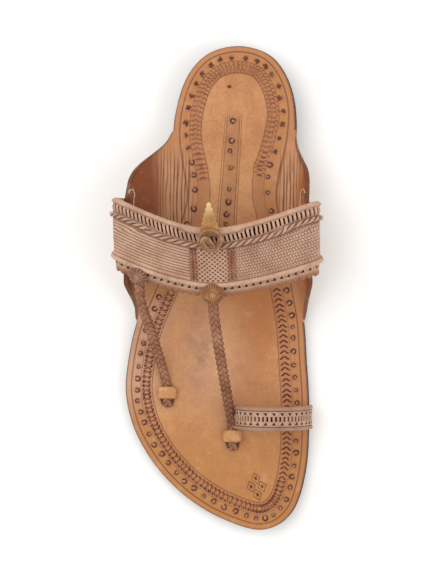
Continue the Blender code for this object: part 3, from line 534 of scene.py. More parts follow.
def on_slope(y, ways):
    """Axes that lie on the insole: two level ways, each tilted by the slope in y, and the way up."""
    step = 0.001
    rise = (insole_top(share_of(y + step)) - insole_top(share_of(y - step))) / (2 * step)
    tilted = [np.column_stack([way, way[:, 1] * rise]) for way in ways]
    return unit(np.stack([*tilted, np.column_stack([rise * 0, -rise, np.ones(len(y))])], axis=1))


def placed_on_insole(flat):
    """Places on the insole over points in x and y, with axes along x and y that lie on its slope."""
    place = np.column_stack([flat, insole_top(share_of(flat[:, 1]))])
    return place, on_slope(flat[:, 1], [np.tile(way, (len(flat), 1)) for way in ((1.0, 0.0), (0.0, 1.0))])


def border_point(run, tooled):
    """A place on the insole at a run and a tooling distance past the studs, with its directions: along the
    edge, inward and up."""
    near = np.searchsorted(edge_run, run % edge_run[-1]) % len(edge_line)
    inset = tooled + tooling_pinch(edge_along[near], edge_side[near])
    flat = edge_line[near] + edge_inward[near] * inset[:, None]
    return placed_on_insole(flat)[0], on_slope(flat[:, 1], [edge_ahead[near], edge_inward[near]])


print("round the sole", round(edge_run[-1] * 1000), "mm")

# %% The insole's grid
SPOKES = 375
EAR_STEPS = 22
spoke_turn = np.linspace(0, math.pi, SPOKES)
row_along = (1 - np.cos(np.concatenate([spoke_turn, spoke_turn[-2::-1]]))) / 2
row_side = np.concatenate([np.ones(SPOKES), -np.ones(SPOKES - 1)])
ear_share = np.where(row_side > 0, *(
    np.clip(through(EARS[:, 0], EARS[:, column], row_along), 0, 1) * top
    for column, top in ((1, EAR_TOP_LATERAL), (2, EAR_TOP_MEDIAL))))
ear_share[(row_along <= EARS[0, 0]) | (row_along >= EARS[-1, 0])] = 0.0
ear_part = last_point(row_along[:, None], row_side[:, None],
                      ear_share[:, None] * np.linspace(1, 0, EAR_STEPS + 1))
INSETS = np.concatenate([
    [0.3, 0.6, 1.0, 1.6, 2.3, 2.8, 3.1, 3.3, 3.5, 3.7, 3.9, 4.3, 5.0, 6.0, 7.0, 8.0, 8.6, 8.8, 9.0, 9.2,
     9.5, 10.5, 11.5, 12.5, 13.5, 14.5, 15.6, 15.9, 16.1, 16.3, 16.6]]) / 1000
edge = ear_part[:, -1]
spine_along = 0.12 + 0.78 * row_along
spine = np.stack([sum(sole_edges(spine_along)) / 2, world_y(spine_along)], axis=-1)
spoke_length = np.linalg.norm(spine - edge[:, :2], axis=1)
inner_share = np.linspace(0, 1, 10)[1:]
share = np.concatenate([INSETS / spoke_length[:, None],
                        INSETS[-1] / spoke_length[:, None] * (1 - inner_share) + inner_share], axis=1)
flat_part = edge[:, None, :2] + (spine - edge[:, :2])[:, None] * share[..., None]
flat_part = np.concatenate([flat_part, insole_top(share_of(flat_part[..., 1]))[..., None]], axis=-1)
insole_grid = np.concatenate([ear_part, flat_part], axis=1)
print("insole grid", insole_grid.shape[:2])

# %% Which way is up on it
slope = np.gradient(insole_grid, axis=1)
level = np.hypot(slope[..., 0], slope[..., 1])
on_ear = (np.arange(insole_grid.shape[1]) <= EAR_STEPS) & (ear_share[:, None] > 0) & (level > 1e-9)
safe = np.where(level > 1e-9, level, 1.0)
lean = np.stack([-slope[..., 0] / safe * slope[..., 2], -slope[..., 1] / safe * slope[..., 2], level],
                axis=-1)
insole_up = np.where(on_ear[..., None], lean, (0.0, 0.0, 1.0))
insole_up = unit(insole_up)

# %% Tooling and the foot's print
run, inset, tooled = border_place(insole_grid)
x, y = insole_grid[..., 0], insole_grid[..., 1]
ear_run = np.zeros(insole_grid.shape[:2])
ear_run[:, :EAR_STEPS] = np.linalg.norm(np.diff(ear_part, axis=1), axis=-1)[:, ::-1].cumsum(axis=1)[:, ::-1]
tooled = np.where(np.arange(insole_grid.shape[1]) < EAR_STEPS, -ear_run, tooled)
run[:, :EAR_STEPS] = run[:, EAR_STEPS:EAR_STEPS + 1]


def trough(value, centre, width):
    """A soft groove: the bell curve exp(-((value - centre)/width)²)."""
    return np.exp(-((value - centre) / width) ** 2)


sink = 0.00028 * trough(tooled, 0.0035, 0.00035) + 0.00012 * trough(tooled, 0.0090, 0.00025)
sink += 0.00012 * trough(tooled, 0.0161, 0.00025)
no_ear = ear_share[:, None] < 1e-6
EDGE_ROUND = 0.0009
rounding = EDGE_ROUND * (1 - np.sqrt(1 - np.clip(1 - inset / EDGE_ROUND, 0, 1) ** 2))
sink += np.where(no_ear, rounding, 0.0)
sink += 0.00045 * np.exp(-(x / 0.020) ** 2 - (y / 0.024) ** 2)
sink += 0.00050 * np.exp(-((x - 0.018) / 0.024) ** 2 - ((y - 0.168) / 0.020) ** 2)
# Creases where the leather turns up into the ears: side, x at the rear, x at the front, depth
CREASES = ((1, 0.0330, 0.0315, 0.00022), (1, 0.0365, 0.0345, 0.00030), (1, 0.0395, 0.0390, 0.00035),
           (1, 0.0430, 0.0425, 0.00030), (1, 0.0470, 0.0465, 0.00022), (-1, -0.0300, -0.0290, 0.00025),
           (-1, -0.0335, -0.0330, 0.00035), (-1, -0.0368, -0.0372, 0.00030), (-1, -0.0400, -0.0415, 0.00022))
fade = ease(0.018, 0.036, y) * (1 - ease(0.088, 0.110, y))
for side, rear_x, front_x, depth in CREASES:
    middle = rear_x + (front_x - rear_x) * ease(0.02, 0.08, y) + 0.0004 * np.sin(y * 260 + rear_x * 900)
    sink += depth * fade * trough(x, middle, 0.0008)
insole_top_grid = insole_grid - insole_up * sink[..., None]
insole_bottom_grid = insole_grid - insole_up * INSOLE_THICKNESS

# %% Places of the thong studs
luck = np.random.default_rng(7)
HEEL_STUD_PITCH, FRONT_STUD_PITCH, HEEL_STUD_END = 0.0086, 0.0077, 0.36
fine_run = np.linspace(0, edge_run[-1], 4000)
pitch = np.where(np.interp(fine_run, edge_run, edge_along) < HEEL_STUD_END, HEEL_STUD_PITCH, FRONT_STUD_PITCH)
counted = np.concatenate([[0.0], np.cumsum(np.diff(fine_run) / pitch[1:])])
stud_run = np.interp(np.arange(int(counted[-1])) + 0.5, counted, fine_run)
SPINE_STUDS = np.array([(1.7, 6.7), (2.4, 18.6), (3.7, 25.2), (2.4, 35.0), (3.7, 47.5), (4.4, 55.4),
                        (5.1, 62.7), (5.7, 68.6)]) / 1000
stud_place, stud_axes = (np.concatenate(pair) for pair in zip(border_point(stud_run, STUD_INSET),
                                                              placed_on_insole(SPINE_STUDS)))

# %% Values for its colours
EAR_REACH, HALO = 0.030, 0.0017
ear_height = ear_run / EAR_REACH
halo = sum(np.exp(-((insole_grid[..., :2] - stud) ** 2).sum(-1) / HALO**2) for stud in stud_place[:, :2])
phase = np.interp(run, fine_run, counted)


def patch(centre, reach):
    """A soft patch round a place in x and y: the bell curve in both ways."""
    return np.exp(-((x - centre[0]) / reach[0]) ** 2 - ((y - centre[1]) / reach[1]) ** 2)


washes = {
    "rim_shade": 1 - ease(0.002, 0.019, tooled),
    "amber": (0.5 + 0.5 * np.cos(2 * np.pi * phase)) * trough(tooled, 0.0064, 0.0017),
    # an orange zone before the band's medial foot, darkened towards the band as painted shade from it
    "warm_and_band_shade": patch((-0.012, 0.118), (0.016, 0.040)),
    "blush": patch((0.014, 0.150), (0.020, 0.034)),
    "smear": 0.65 * patch((0.0225, 0.140), (0.008, 0.026)) + 0.5 * patch((0.004, 0.196), (0.005, 0.012)),
    "toe": ease(0.160, 0.215, y),
    "rosy": (1 - ease(0.012, 0.024, tooled)) * ease(0.105, 0.125, y) * (1 - ease(0.165, 0.19, y)) * (x > 0),
    "pull": fade * ease(0.0225, 0.029, np.abs(x)) * (1 - ease(0.20, 0.85, ear_height)),
    "russet": ease(0.10, 0.45, ear_height) * (row_side[:, None] < 0),
    # lateral ear: a darker dye and painted shade, as its inner face lies in shadow
    "umber_dye_and_shade": ease(0.18, 0.58, ear_height) * (row_side[:, None] > 0),
    "halo": halo.clip(0, 1) * (tooled > 0),
    "rim": np.where(no_ear, trough(inset, 0.0, 0.0006), trough(np.arange(run.shape[1]), 0.0, 1.2)),
}
both = {label: on_both(value) for label, value in washes.items()}
both["flesh"] = np.stack([np.zeros_like(run), np.ones_like(run)])
both["rim"][1, :, 1:] = 0.0
both["flesh"][1, :, :2] = 0.0
both["pull"][1] = 0.0
# The scribed strip down the heel: its middle and its half width grow along Y
STRIP_REAR = 0.0081
strip_middle = 0.00135 + (y - STRIP_REAR) * 0.0672
strip_place = (x - strip_middle) / (0.00385 + (y - STRIP_REAR) * 0.0106)
insole_uv = {"border": on_both(np.stack([run, tooled], axis=-1)),
             "strip": on_both(np.stack([strip_place, y], axis=-1))}

# %% [markdown]
# ### Tan insole leather
# Vegetable tanned cowhide, smoothed and tooled while damp. The tooled lines are a dark brown, the border is
# pinker than the middle, the ears are dyed darker inside, the lateral one darker still with painted shade,
# and the flesh side is pale and dull.

# %% Insole leather
tan = leather("vegetable tanned insole leather", "#a9744a", "#ba8256", "#c69264", mottle=0.034, streak=1.6)
tree = tan["tree"]
for label, colour, most in (("rim_shade", "#b07850", 0.80), ("amber", "#b3702f", 0.50),
                            # orange, with painted shade from the band
                            ("warm_and_band_shade", "#a66230", 0.65),
                            ("blush", "#cf9f7e", 0.65), ("toe", "#a87038", 0.50), ("rosy", "#be9378", 0.75),
                            ("pull", "#b98a66", 0.80), ("russet", "#a05a2c", 0.95),
                            # the lateral ear's dye, darkened further as painted shade
                            ("umber_dye_and_shade", "#7d401f", 0.96),
                            ("halo", "#6c3e2e", 0.66), ("flesh", "#c39b74", 0.95), ("rim", "#5c3422", 0.85)):
    stain(tan, work_out(tree, "MULTIPLY", attribute(tree, label), most), colour)
# Wear: small darker and lighter patches everywhere, and two grey smears by the braids
patina = add(tree, "TexNoise", {"Vector": tan["place"], "Scale": 75.0, "Detail": 8.0, "Roughness": 0.75})
stain(tan, spread(tree, patina, 0.52, 0.72, 0.0, 0.42), "#96623c")
stain(tan, spread(tree, patina, 0.46, 0.30, 0.0, 0.30), "#d8aa80")
stain(tan, work_out(tree, "MULTIPLY", attribute(tree, "smear"), spread(tree, patina, 0.42, 0.62)), "#8d6a58")
# Fine stretch lines run along the bend of the ears
stretched = add(tree, "Mapping", {0: tan["place"], 3: (1.0, 0.10, 1.0)})
streaks = add(tree, "TexWave", {"Vector": stretched, "Scale": 150.0, "Distortion": 9.0, "Detail": 3.0,
                                "Detail Scale": 1.0}, wave_type="BANDS", bands_direction="X")
patches = add(tree, "TexNoise", {"Vector": stretched, "Scale": 260.0, "Detail": 2.0})
streaks = work_out(tree, "MULTIPLY", spread(tree, (streaks, 1), 0.45, 0.95),
                   spread(tree, patches, 0.38, 0.54, 0.35))
streaks = work_out(tree, "MULTIPLY", streaks, attribute(tree, "pull"))
press(tan, streaks, -2.0)
stain(tan, work_out(tree, "MULTIPLY", streaks, 0.90), "#744127")
# The band of stamps has a redder ground between its two scribed lines
BORDER_SPAN = 0.020
inward = spread(tree, (flat_map(tree, "border"), 1), 0.0, BORDER_SPAN)
ground = add(tree, "ValToRGB", {0: inward}, stops=[(0.45, 0.0), (0.79, 0.0), (0.49, 0.45), (0.76, 0.45)])
stain(tan, ground, "#9c6444")
line_stops = [(0.0, 0.0)]
for place, half, dark in ((0.0035, 0.0006, 0.75), (0.0090, 0.0004, 0.55), (0.0161, 0.0005, 0.75)):
    line_stops += [((place + aside) / BORDER_SPAN, shade)
                   for aside, shade in ((-half, 0.0), (0.0, dark), (half, 0.0))]
lines = add(tree, "ValToRGB", {0: inward}, stops=line_stops)
stain(tan, lines, "#5f2f1d")
press(tan, lines, -2.5)
strip = flat_map(tree, "strip")
aside = spread(tree, work_out(tree, "ABSOLUTE", strip), 0.0, 2.0)
double = add(tree, "ValToRGB", {0: aside}, stops=[
    (0.0, 0.22), (0.55, 0.0), (0.45, 0.22), (0.50, 0.80), (0.60, 0.0), (0.65, 0.65), (0.70, 0.0)])
within = work_out(tree, "MULTIPLY", spread(tree, (strip, 1), 0.0, 0.006),
                  spread(tree, (strip, 1), 0.078, 0.074))
double = work_out(tree, "MULTIPLY", double, within)
stain(tan, double, "#5f2f1d")
press(tan, double, -2.0)

# %% The insole
piece("insole", wall(insole_top_grid, insole_bottom_grid, joined=(LAST_COLUMN,)),
      finish_leather(tan, coat=0.05), "insole", insole_uv, both)

# %% [markdown]
# ## Outsole and heel
# The outsole is stiff brown leather with its rough side down, burnished with a hot iron round the edge. It
# is made of the same spokes, carried from the spine underneath round the bevelled edge and back over the
# top. The heel is a leather lift with a black rubber cap, both with a straight breast.

# %% Layers of the sole
def sole_layer(lateral_along, medial_along, bottom, top, inset, bevel, spine_from, spine_to, dent=None):
    """A closed layer: for each spoke the points from the spine below, round the edge and to the spine
    above."""
    along = np.concatenate([lateral_along, medial_along[::-1]])
    side = np.concatenate([np.ones(len(lateral_along)), -np.ones(len(medial_along))])
    lateral, medial = sole_edges(along)
    half = np.maximum((lateral - medial) / 2 - inset, 0.0)
    edge_x, edge_y = (lateral + medial) / 2 + side * half, world_y(along)
    along_share = np.concatenate([np.linspace(0, 1, len(lateral_along)),
                                  np.linspace(1, 0, len(medial_along))])
    spine_along = spine_from + (spine_to - spine_from) * (along_share if spine_to < 0.5 else along)
    spine_x, spine_y = sum(sole_edges(spine_along)) / 2, world_y(spine_along)
    length = np.hypot(spine_x - edge_x, spine_y - edge_y)
    low = [length * share for share in (1.0, 0.75, 0.5, 0.32)]
    low += [np.full(len(along), reach) for reach in (0.0090, 0.0070, 0.0062, 0.0055, 0.0040, 0.0022)]
    roll = np.linspace(0, math.pi / 2, 4)
    insets = low + [np.full(len(along), bevel * (1 - math.sin(angle))) for angle in roll]
    insets += [np.full(len(along), reach) for reach in (0.0, 0.0002, 0.0006, 0.0040, 0.0095)]
    insets += [length * 0.5, length]
    rises = [0.0] * len(low) + [bevel * (1 - math.cos(angle)) for angle in roll]
    insets = np.minimum(np.stack(insets, axis=1), length[:, None])
    x = edge_x[:, None] + (spine_x - edge_x)[:, None] * insets / length[:, None]
    y = edge_y[:, None] + (spine_y - edge_y)[:, None] * insets / length[:, None]
    z = np.zeros_like(x)
    z[:, :len(rises)] = bottom(share_of(y[:, :len(rises)])) + np.array(rises)
    z[:, len(rises):] = top(share_of(y[:, len(rises):]))
    z[:, len(rises)] -= 0.0006
    z[:, len(rises) + 1] -= 0.0002
    if dent is not None:
        z[:, len(rises):] -= dent(x, y, insets)[:, len(rises):]
    return np.stack([x, y, z], axis=-1), insets


def closed_round(grid):
    """The faces of a layer: its spokes wrap round, and both spines are drawn together by the merge of
    doubles."""
    return grid.reshape(-1, 3), grid_faces(*grid.shape[:2], wrap_rows=True)


def toe_loop_leg():
    """Middle of the toe loop's medial leg, just outside the insole's edge."""
    along = (LOOP_CENTRE_Y + np.array([-0.5, 0.0, 0.5]) * LOOP_WIDTH) / SOLE_LENGTH
    return last_point(along, -1, 0.0)[:, 0].min() - FIT_GAP - LOOP_WALL / 2


LOOP_Y = world_y(LOOP_CENTRE_Y / SOLE_LENGTH)


def tongue_dent(x, y, insets):
    """Depth of the pocket for the toe loop's tongue: a window in y and in distance from the medial edge."""
    beside = ease(LOOP_WIDTH / 2 + 0.0012, LOOP_WIDTH / 2 + 0.0004, np.abs(y - LOOP_Y))
    return (LOOP_WALL + 0.0004) * beside * ease(0.0105, 0.0097, insets) * (x < -0.02)


# %% Outsole
layer_rows = (1 - np.cos(np.linspace(0, math.pi, 300))) / 2
outsole_grid, outsole_insets = sole_layer(
    layer_rows, layer_rows[1:-1], outsole_bottom, lambda share: outsole_bottom(share) + OUTSOLE_THICKNESS,
    0.0, EDGE_BEVEL, 0.12, 0.90, tongue_dent)
brown = leather("brown outsole leather, flesh side", "#8c5c3d", "#a06f4b", "#b08058", mottle=0.026,
                grain=0.0009, depth=0.00022, rough=0.82)
tree = brown["tree"]
patches = add(tree, "TexNoise", {"Vector": brown["place"], "Scale": 60.0, "Detail": 6.0, "Roughness": 0.7})
soft_edge = spread(tree, patches, 0.3, 0.7, -0.3, 0.3)
stain(brown, work_out(tree, "ADD", attribute(tree, "burnish"), soft_edge, use_clamp=True), "#7b4229")
# Painted shade: the outsole's side wall and bevel are coloured almost black, as they lie in shade
stain(brown, attribute(tree, "side"), "#3f261d")
stain(brown, attribute(tree, "seam"), "#5d2f1e")
BELOW_COLUMNS = 14
seam_values = 0.7 * trough(outsole_insets, 0.0060, 0.0008)
seam_values[:, BELOW_COLUMNS:] = 0.0
outsole_values = {"burnish": 1 - ease(0.0050, 0.0066, outsole_insets), "seam": seam_values,
                  # painted shade on the side wall and bevel
                  "side": ease(0.0012, 0.0003, outsole_insets)}
piece("outsole", closed_round(outsole_grid), finish_leather(brown, sheen=0.15), "outsole", None,
      outsole_values)


# %% Heel lift
def heel_layer(floor, ceiling, bevel):
    """A level layer under the heel between two heights, with a straight breast at its front."""
    rows = 1 - np.cos(np.linspace(0, math.pi / 2, 150))
    grid, _ = sole_layer(rows * BREAST_LATERAL, rows[1:] * BREAST_MEDIAL, lambda share: share * 0 + floor,
                         lambda share: share * 0 + ceiling, HEEL_INSET, bevel, 0.08, 0.30)
    return closed_round(grid)


stack = leather("stacked heel leather", "#4e2f1f", "#613a26", "#754a31", mottle=0.012, depth=0.00014,
                rough=0.5)
tree = stack["tree"]
LEATHER_PLY = 0.0020
height = add(tree, "SeparateXYZ", {0: stack["place"]})
seam = spread(tree, work_out(tree, "PINGPONG", (height, 2), LEATHER_PLY / 2), 0.00016, 0.00004)
stain(stack, seam, "#25140e")
press(stack, seam, -3.0)
lift_bottom = HEEL_CAP_THICKNESS + FIT_GAP
piece("heel_lift", heel_layer(lift_bottom, lift_bottom + HEEL_LIFT_THICKNESS, EDGE_BEVEL * 0.4),
      finish_leather(stack, coat=0.15), "heel_lift")

# %% [markdown]
# ### Heel cap
# Moulded black rubber, matt and a little dusty, with fine ribs across the tread.

# %% Heel cap
rubber = leather("black heel rubber", "#151515", "#1d1c1b", "#2a2826", mottle=0.010, grain=0.0005,
                 depth=0.00010, rough=0.62)
tree = rubber["tree"]
RIB_PITCH = 0.0030
spot = add(tree, "SeparateXYZ", {0: rubber["place"]})
rib = spread(tree, work_out(tree, "PINGPONG", (spot, 1), RIB_PITCH / 2), 0.0002, 0.0005)
press(rubber, work_out(tree, "MULTIPLY", rib, spread(tree, (spot, 2), 0.0004, 0.0002)), 3.0)
piece("heel_cap", heel_layer(0.0, HEEL_CAP_THICKNESS, EDGE_BEVEL * 0.6), finish_leather(rubber), "heel_cap")

# %% [markdown]
# ## Studs, stamps and stitches
# A dark thong stitches insole and outsole together. It shows as a row of small open rings, and round the
# heel as closed knots. Inside it runs a band of stamped chevrons, with curls beside them at the heel. Each
# is one small shape, copied to its places with a little seeded disorder, as a hand leaves it.

# %% Small shapes
UPWARD = (0.0, 0.0, 1.0)


def ball(rows=6, columns=8):
    """A ball of radius one: latitude and longitude."""
    up, turn = np.meshgrid(np.linspace(-math.pi / 2, math.pi / 2, rows), around(columns), indexing="ij")
    points = np.stack([np.cos(up) * np.cos(turn), np.cos(up) * np.sin(turn), np.sin(up)], axis=-1)
    return points.reshape(-1, 3), grid_faces(rows, columns, wrap_columns=True)


def tapered(thick, steps, least):
    """The radius of a bar at its steps: full in the middle, down to the root of least at its ends."""
    return thick * np.sqrt(np.maximum(1 - np.linspace(-1, 1, steps) ** 6, least))


def hoop(start, end, thick, steps=10, sides=5):
    """A round bar bent along a circle of radius one between two angles, thinner at its ends."""
    angle = np.linspace(start, end, steps)
    path = np.stack([np.cos(angle), np.sin(angle), angle * 0], axis=-1)
    return round_bar(path, UPWARD, tapered(thick, steps, 0.15), sides)


def arms(curl, thick, steps=9, sides=5):
    """Two arms that part from a tip: ahead 1 - 1.8t + curl t³ and aside ±t for t from 0 to 1."""
    t = np.linspace(0.04, 1.0, steps)
    paths = [np.stack([1 - 1.8 * t + curl * t**3, side * t, t * 0], axis=-1) for side in (1, -1)]
    return together([round_bar(path, UPWARD, tapered(thick, steps, 0.2), sides) for path in paths])


def prism(sides=3):
    """A flat bevelled prism of radius one: three rings of corners between two middles."""
    corners = np.stack([np.cos(around(sides)), np.sin(around(sides)), np.zeros(sides)], axis=-1)
    points = [corners * reach + (0.0, 0.0, height)
              for reach, height in ((0.0, -1.0), (1.0, -1.0), (1.0, 0.7), (0.8, 1.0), (0.0, 1.0))]
    return np.concatenate(points), grid_faces(len(points), sides, wrap_columns=True)


def turned(axes, angle):
    """Axes turned about their third one, all by one angle or each by its own."""
    cosine, sine = (np.broadcast_to(value, len(axes))[:, None] for value in (np.cos(angle), np.sin(angle)))
    return np.stack([axes[:, 0] * cosine + axes[:, 1] * sine, axes[:, 1] * cosine - axes[:, 0] * sine,
                     axes[:, 2]],
                    axis=1)


# %% Thong studs
OPEN_STUDS_FROM = 0.030
stud_place[:, :2] += luck.normal(0, 0.00035, (len(stud_place), 2))
stud_axes = turned(stud_axes, luck.uniform(-2.2, 2.2, len(stud_place)))
stud_size = 0.00138 * luck.uniform(0.78, 1.20, (len(stud_place), 1)) * (1.0, 0.85, 0.42)
thong_leather = plain_leather("dark thong", "#4a2a22", "#623b2d", "#805541", mottle=0.003, grain=0.0004,
                              rough=0.8)
# Painted highlights: the pale beads in the ring studs and the glints on the pinked strip
highlight_leather = plain_leather("pale leather for painted highlights", "#8c604a", "#a87d64", "#c39a82", mottle=0.004,
                             grain=0.0004, rough=0.7)
is_open = (stud_place[:, 1] > OPEN_STUDS_FROM) | (np.arange(len(stud_place)) >= len(stud_run))
place, axes, size = stud_place[is_open], stud_axes[is_open], stud_size[is_open]
piece("thong_studs", copies(hoop(-2.7, 2.7, 0.42), place, axes, size), thong_leather, "insole")
# Each ring stud's pale centre is the thong's bead, lightened as a painted highlight
piece("stud_bead_highlights", copies(ball(), place, axes, size * (0.60, 0.60, 0.50)), highlight_leather, "insole")
# The heel's studs are closed knots of thong: three crossed lobes, each a little off the place
place, axes, size = stud_place[~is_open], stud_axes[~is_open], stud_size[~is_open]
for lobe in range(3):
    lobe_place = place + np.pad(luck.normal(0, 0.0004, (len(place), 2)), ((0, 0), (0, 1)))
    lobe_axes = turned(axes, luck.normal(lobe * math.pi / 3, 0.3, len(place)))
    piece(f"stud_lobes_{lobe}", copies(ball(5, 7), lobe_place, lobe_axes, size * (1.25, 0.55, 0.9)),
          thong_leather, "insole")
# Painted shade: a flat dark disc stands for the shade in an awl hole
AWL_HOLE = np.array([(3.7, -13.7)]) / 1000
piece("awl_hole", copies(ball(), *placed_on_insole(AWL_HOLE), (0.0013, 0.0010, 0.0003)), thong_leather,
      "insole")

# %% Pale threads at the ears
# Ear column from the top edge and y in millimetres: over the ear's edge and down under the band
THREAD = np.array([(0, 50.6), (1, 49.0), (3, 48.3), (5, 49.0), (6, 51.4), (6, 54.5), (6, 58.0)])
thread_leather = plain_leather("pale thread", "#b7a091", "#cbb6a6", "#dccabc", mottle=0.004, grain=0.0004,
                               rough=0.7)
for label, side, closer in (("lateral", 1, 0.5), ("medial", -1, 0.8)):
    spokes = np.flatnonzero(row_side == side)
    spokes = spokes[np.argsort(insole_grid[spokes, 6, 1])]
    corners = []
    for column, away in THREAD:
        line, ups = (grid[spokes, round(column * closer)] for grid in (insole_grid, insole_up))
        corners.append([np.interp(away / 1000, line[:, 1],
                                  line[:, axis] + 0.0003 * ups[:, axis]) for axis in range(3)])
    path = smooth_line(np.arange(len(THREAD)), np.array(corners), np.linspace(0, len(THREAD) - 1, 40))
    piece(f"ear_thread_{label}", round_bar(path, UPWARD, 0.00032, 6), thread_leather, "insole")

# %% Places of the stamps
STAMP_PITCH, STAMP_INSET = 0.0033, 0.0125
stamp_run = np.arange(0, edge_run[-1], STAMP_PITCH)
stamp_place, stamp_axes = border_point(stamp_run, STAMP_INSET)
stamp_y = stamp_place[:, 1]
on_lateral = stamp_run < edge_run[EDGE_STEPS]
stamp_axes[on_lateral, :2] *= -1
loose = luck.uniform(0.88, 1.12, (len(stamp_run), 1))
heel = stamp_y < 0.0425
medial_fore = (stamp_y > 0.098) & ~on_lateral & (stamp_y < 0.222)
lateral_fore = (stamp_y > 0.098) & ~medial_fore
stamped_leather, soft_leather, faint_leather = (
    plain_leather(name, *tones, mottle=0.006, grain=0.0005, rough=0.6) for name, tones in (
        ("stamped lines", ("#4d2619", "#613322", "#7c4830")),
        ("soft stamped lines", ("#693f29", "#7e4e35", "#96644a")),
        ("faint stamped lines", ("#784a31", "#8a583b", "#9f6c4b"))))


def stamp(name, shape, look, chosen, size, ahead=0.0, aside=0.0, spin=0.0):
    """One stamp at the chosen places of the row, or at a run ahead of them and further in by aside."""
    place, _ = border_point(stamp_run[chosen] + ahead, STAMP_INSET + aside)
    piece(name, copies(shape, place, turned(stamp_axes[chosen], spin), np.array(size) * loose[chosen]),
          look, "insole")


# %% Stamped chevrons, curls and dashes
stamp("stamps_medial", arms(0.75, 0.26), stamped_leather, medial_fore, (0.00185, 0.00275, 0.00055))
stamp("stamps_lateral", arms(0.75, 0.26), soft_leather, lateral_fore, (0.00155, 0.00260, 0.00050))
stamp("stamps_heel", arms(0.75, 0.26), faint_leather, heel, (0.00120, 0.00200, 0.00045))
stamp("stamps_heel_end", ball(5, 6), soft_leather, heel & (stamp_y > 0.024), (0.00045, 0.0019, 0.0004))
for number, way in enumerate((-1, 1)):
    stamp(f"heel_curls_{number}", hoop(-1.9, 1.9, 0.24, steps=7, sides=4), faint_leather, heel,
          (0.0009, 0.0010, 0.0008), ahead=0.0008, aside=way * 0.0022)
for number, way in enumerate((-1, 1)):
    stamp(f"stamp_dashes_{number}", ball(5, 6), stamped_leather, lateral_fore, (0.00062, 0.00105, 0.00035),
          ahead=0.0016, aside=way * 0.0018, spin=0.7)

# %% Four stamped diamonds near the toe
DIAMONDS = np.array([(-11.3, 221.3), (-8.6, 226.3), (-15.2, 226.1), (-12.5, 231.1)]) / 1000
place, axes = placed_on_insole(DIAMONDS)
axes = turned(axes, 0.35)
outline = hoop(0.0, 2 * math.pi, 0.17, steps=5, sides=4)
piece("diamond_stamps", copies(outline, place, axes, (0.0026, 0.0034, 0.0009)), soft_leather, "insole")
piece("diamond_middles", copies(ball(5, 6), place, axes, (0.0009, 0.0013, 0.0003)), stamped_leather, "insole")


# %% Stitches of the outsole
def under_sole(flat):
    """Places on the outsole's underside below points in x and y."""
    return np.column_stack([flat, outsole_bottom(share_of(flat[:, 1]))])


STITCH_PITCH, STITCH_INSET = 0.0055, 0.0060
stitch_run = np.arange(0, edge_run[-1], STITCH_PITCH)
_, round_axes = border_point(stitch_run, STITCH_INSET)
near = np.searchsorted(edge_run, stitch_run) % len(edge_line)
round_flat = edge_line[near] + edge_inward[near] * STITCH_INSET
bare = share_of(round_flat[:, 1]) > SHANK_START
line_y = np.arange(0.0660, 0.132, STITCH_PITCH)
line_flat = np.column_stack([0.0037 + (line_y - 0.0646) * 0.10, line_y])
line_axes = np.tile(((0, 1, 0), (-1, 0, 0), (0, 0, 1.0)), (len(line_y), 1, 1))
stitch_place = under_sole(np.concatenate([round_flat[bare], line_flat]))
stitch_axes = turned(np.concatenate([round_axes[bare], line_axes]), luck.normal(0, 0.35, len(stitch_place)))
stitch_size = np.array((0.0016, 0.0007, 0.0004)) * luck.uniform(0.6, 1.2, (len(stitch_place), 1))
piece("outsole_stitches", copies(ball(5, 6), stitch_place, stitch_axes, stitch_size), thong_leather,
      "outsole")
# x, y and radius in millimetres
NAILS = np.array([(3.2, 213.8, 1.9), (41.1, 189.7, 1.8), (-11.3, 219.2, 0.8)]) / 1000
piece("outsole_nails", copies(ball(), under_sole(NAILS[:, :2]), np.tile(np.eye(3), (3, 1, 1)),
                              NAILS[:, 2:] * (1, 1, 0.2)), thong_leather, "outsole")

# %% [markdown]
# ## The instep band
# A wall of leather laid over the ears: a rolled rear edge, a ladder of cut slots, a whipped cord, a woven
# panel and a plain rib. The slots are real openings, left out of the wall's grid, with a lining under them
# that is coloured almost black as painted shade.

# %% The band's grid
RUNG_PITCH = 0.0024
rungs = int(BAND_TOTAL / RUNG_PITCH)
RUNG_MARKS = np.array((0.0, 0.27, 0.54, 0.77))
band_at = np.append((np.arange(rungs)[:, None] + RUNG_MARKS).ravel(), rungs) * BAND_TOTAL / rungs
PANEL_START, PANEL_END, ROW_PITCH = 0.285, 0.790, 0.00160
panel_across = np.linspace(PANEL_START, PANEL_END, 48)
band_across = np.unique(np.concatenate([BAND_PROFILE[:, 0], panel_across]))
relief = np.interp(band_across, BAND_PROFILE[:, 0], BAND_PROFILE[:, 1]) * BAND_RELIEF
in_panel = (band_across > PANEL_START) & (band_across < PANEL_END)
row_share = (band_across - PANEL_START) * BAND_ACROSS / ROW_PITCH
LACE_START, LACE_END, LACE_TIP = 0.088, 0.184, 0.070
slant = 0.0010 * np.clip((band_across - LACE_START) / (LACE_END - LACE_START), 0, 1)
at = band_at[:, None] + slant * np.sin(np.pi * band_at / BAND_TOTAL)[:, None]
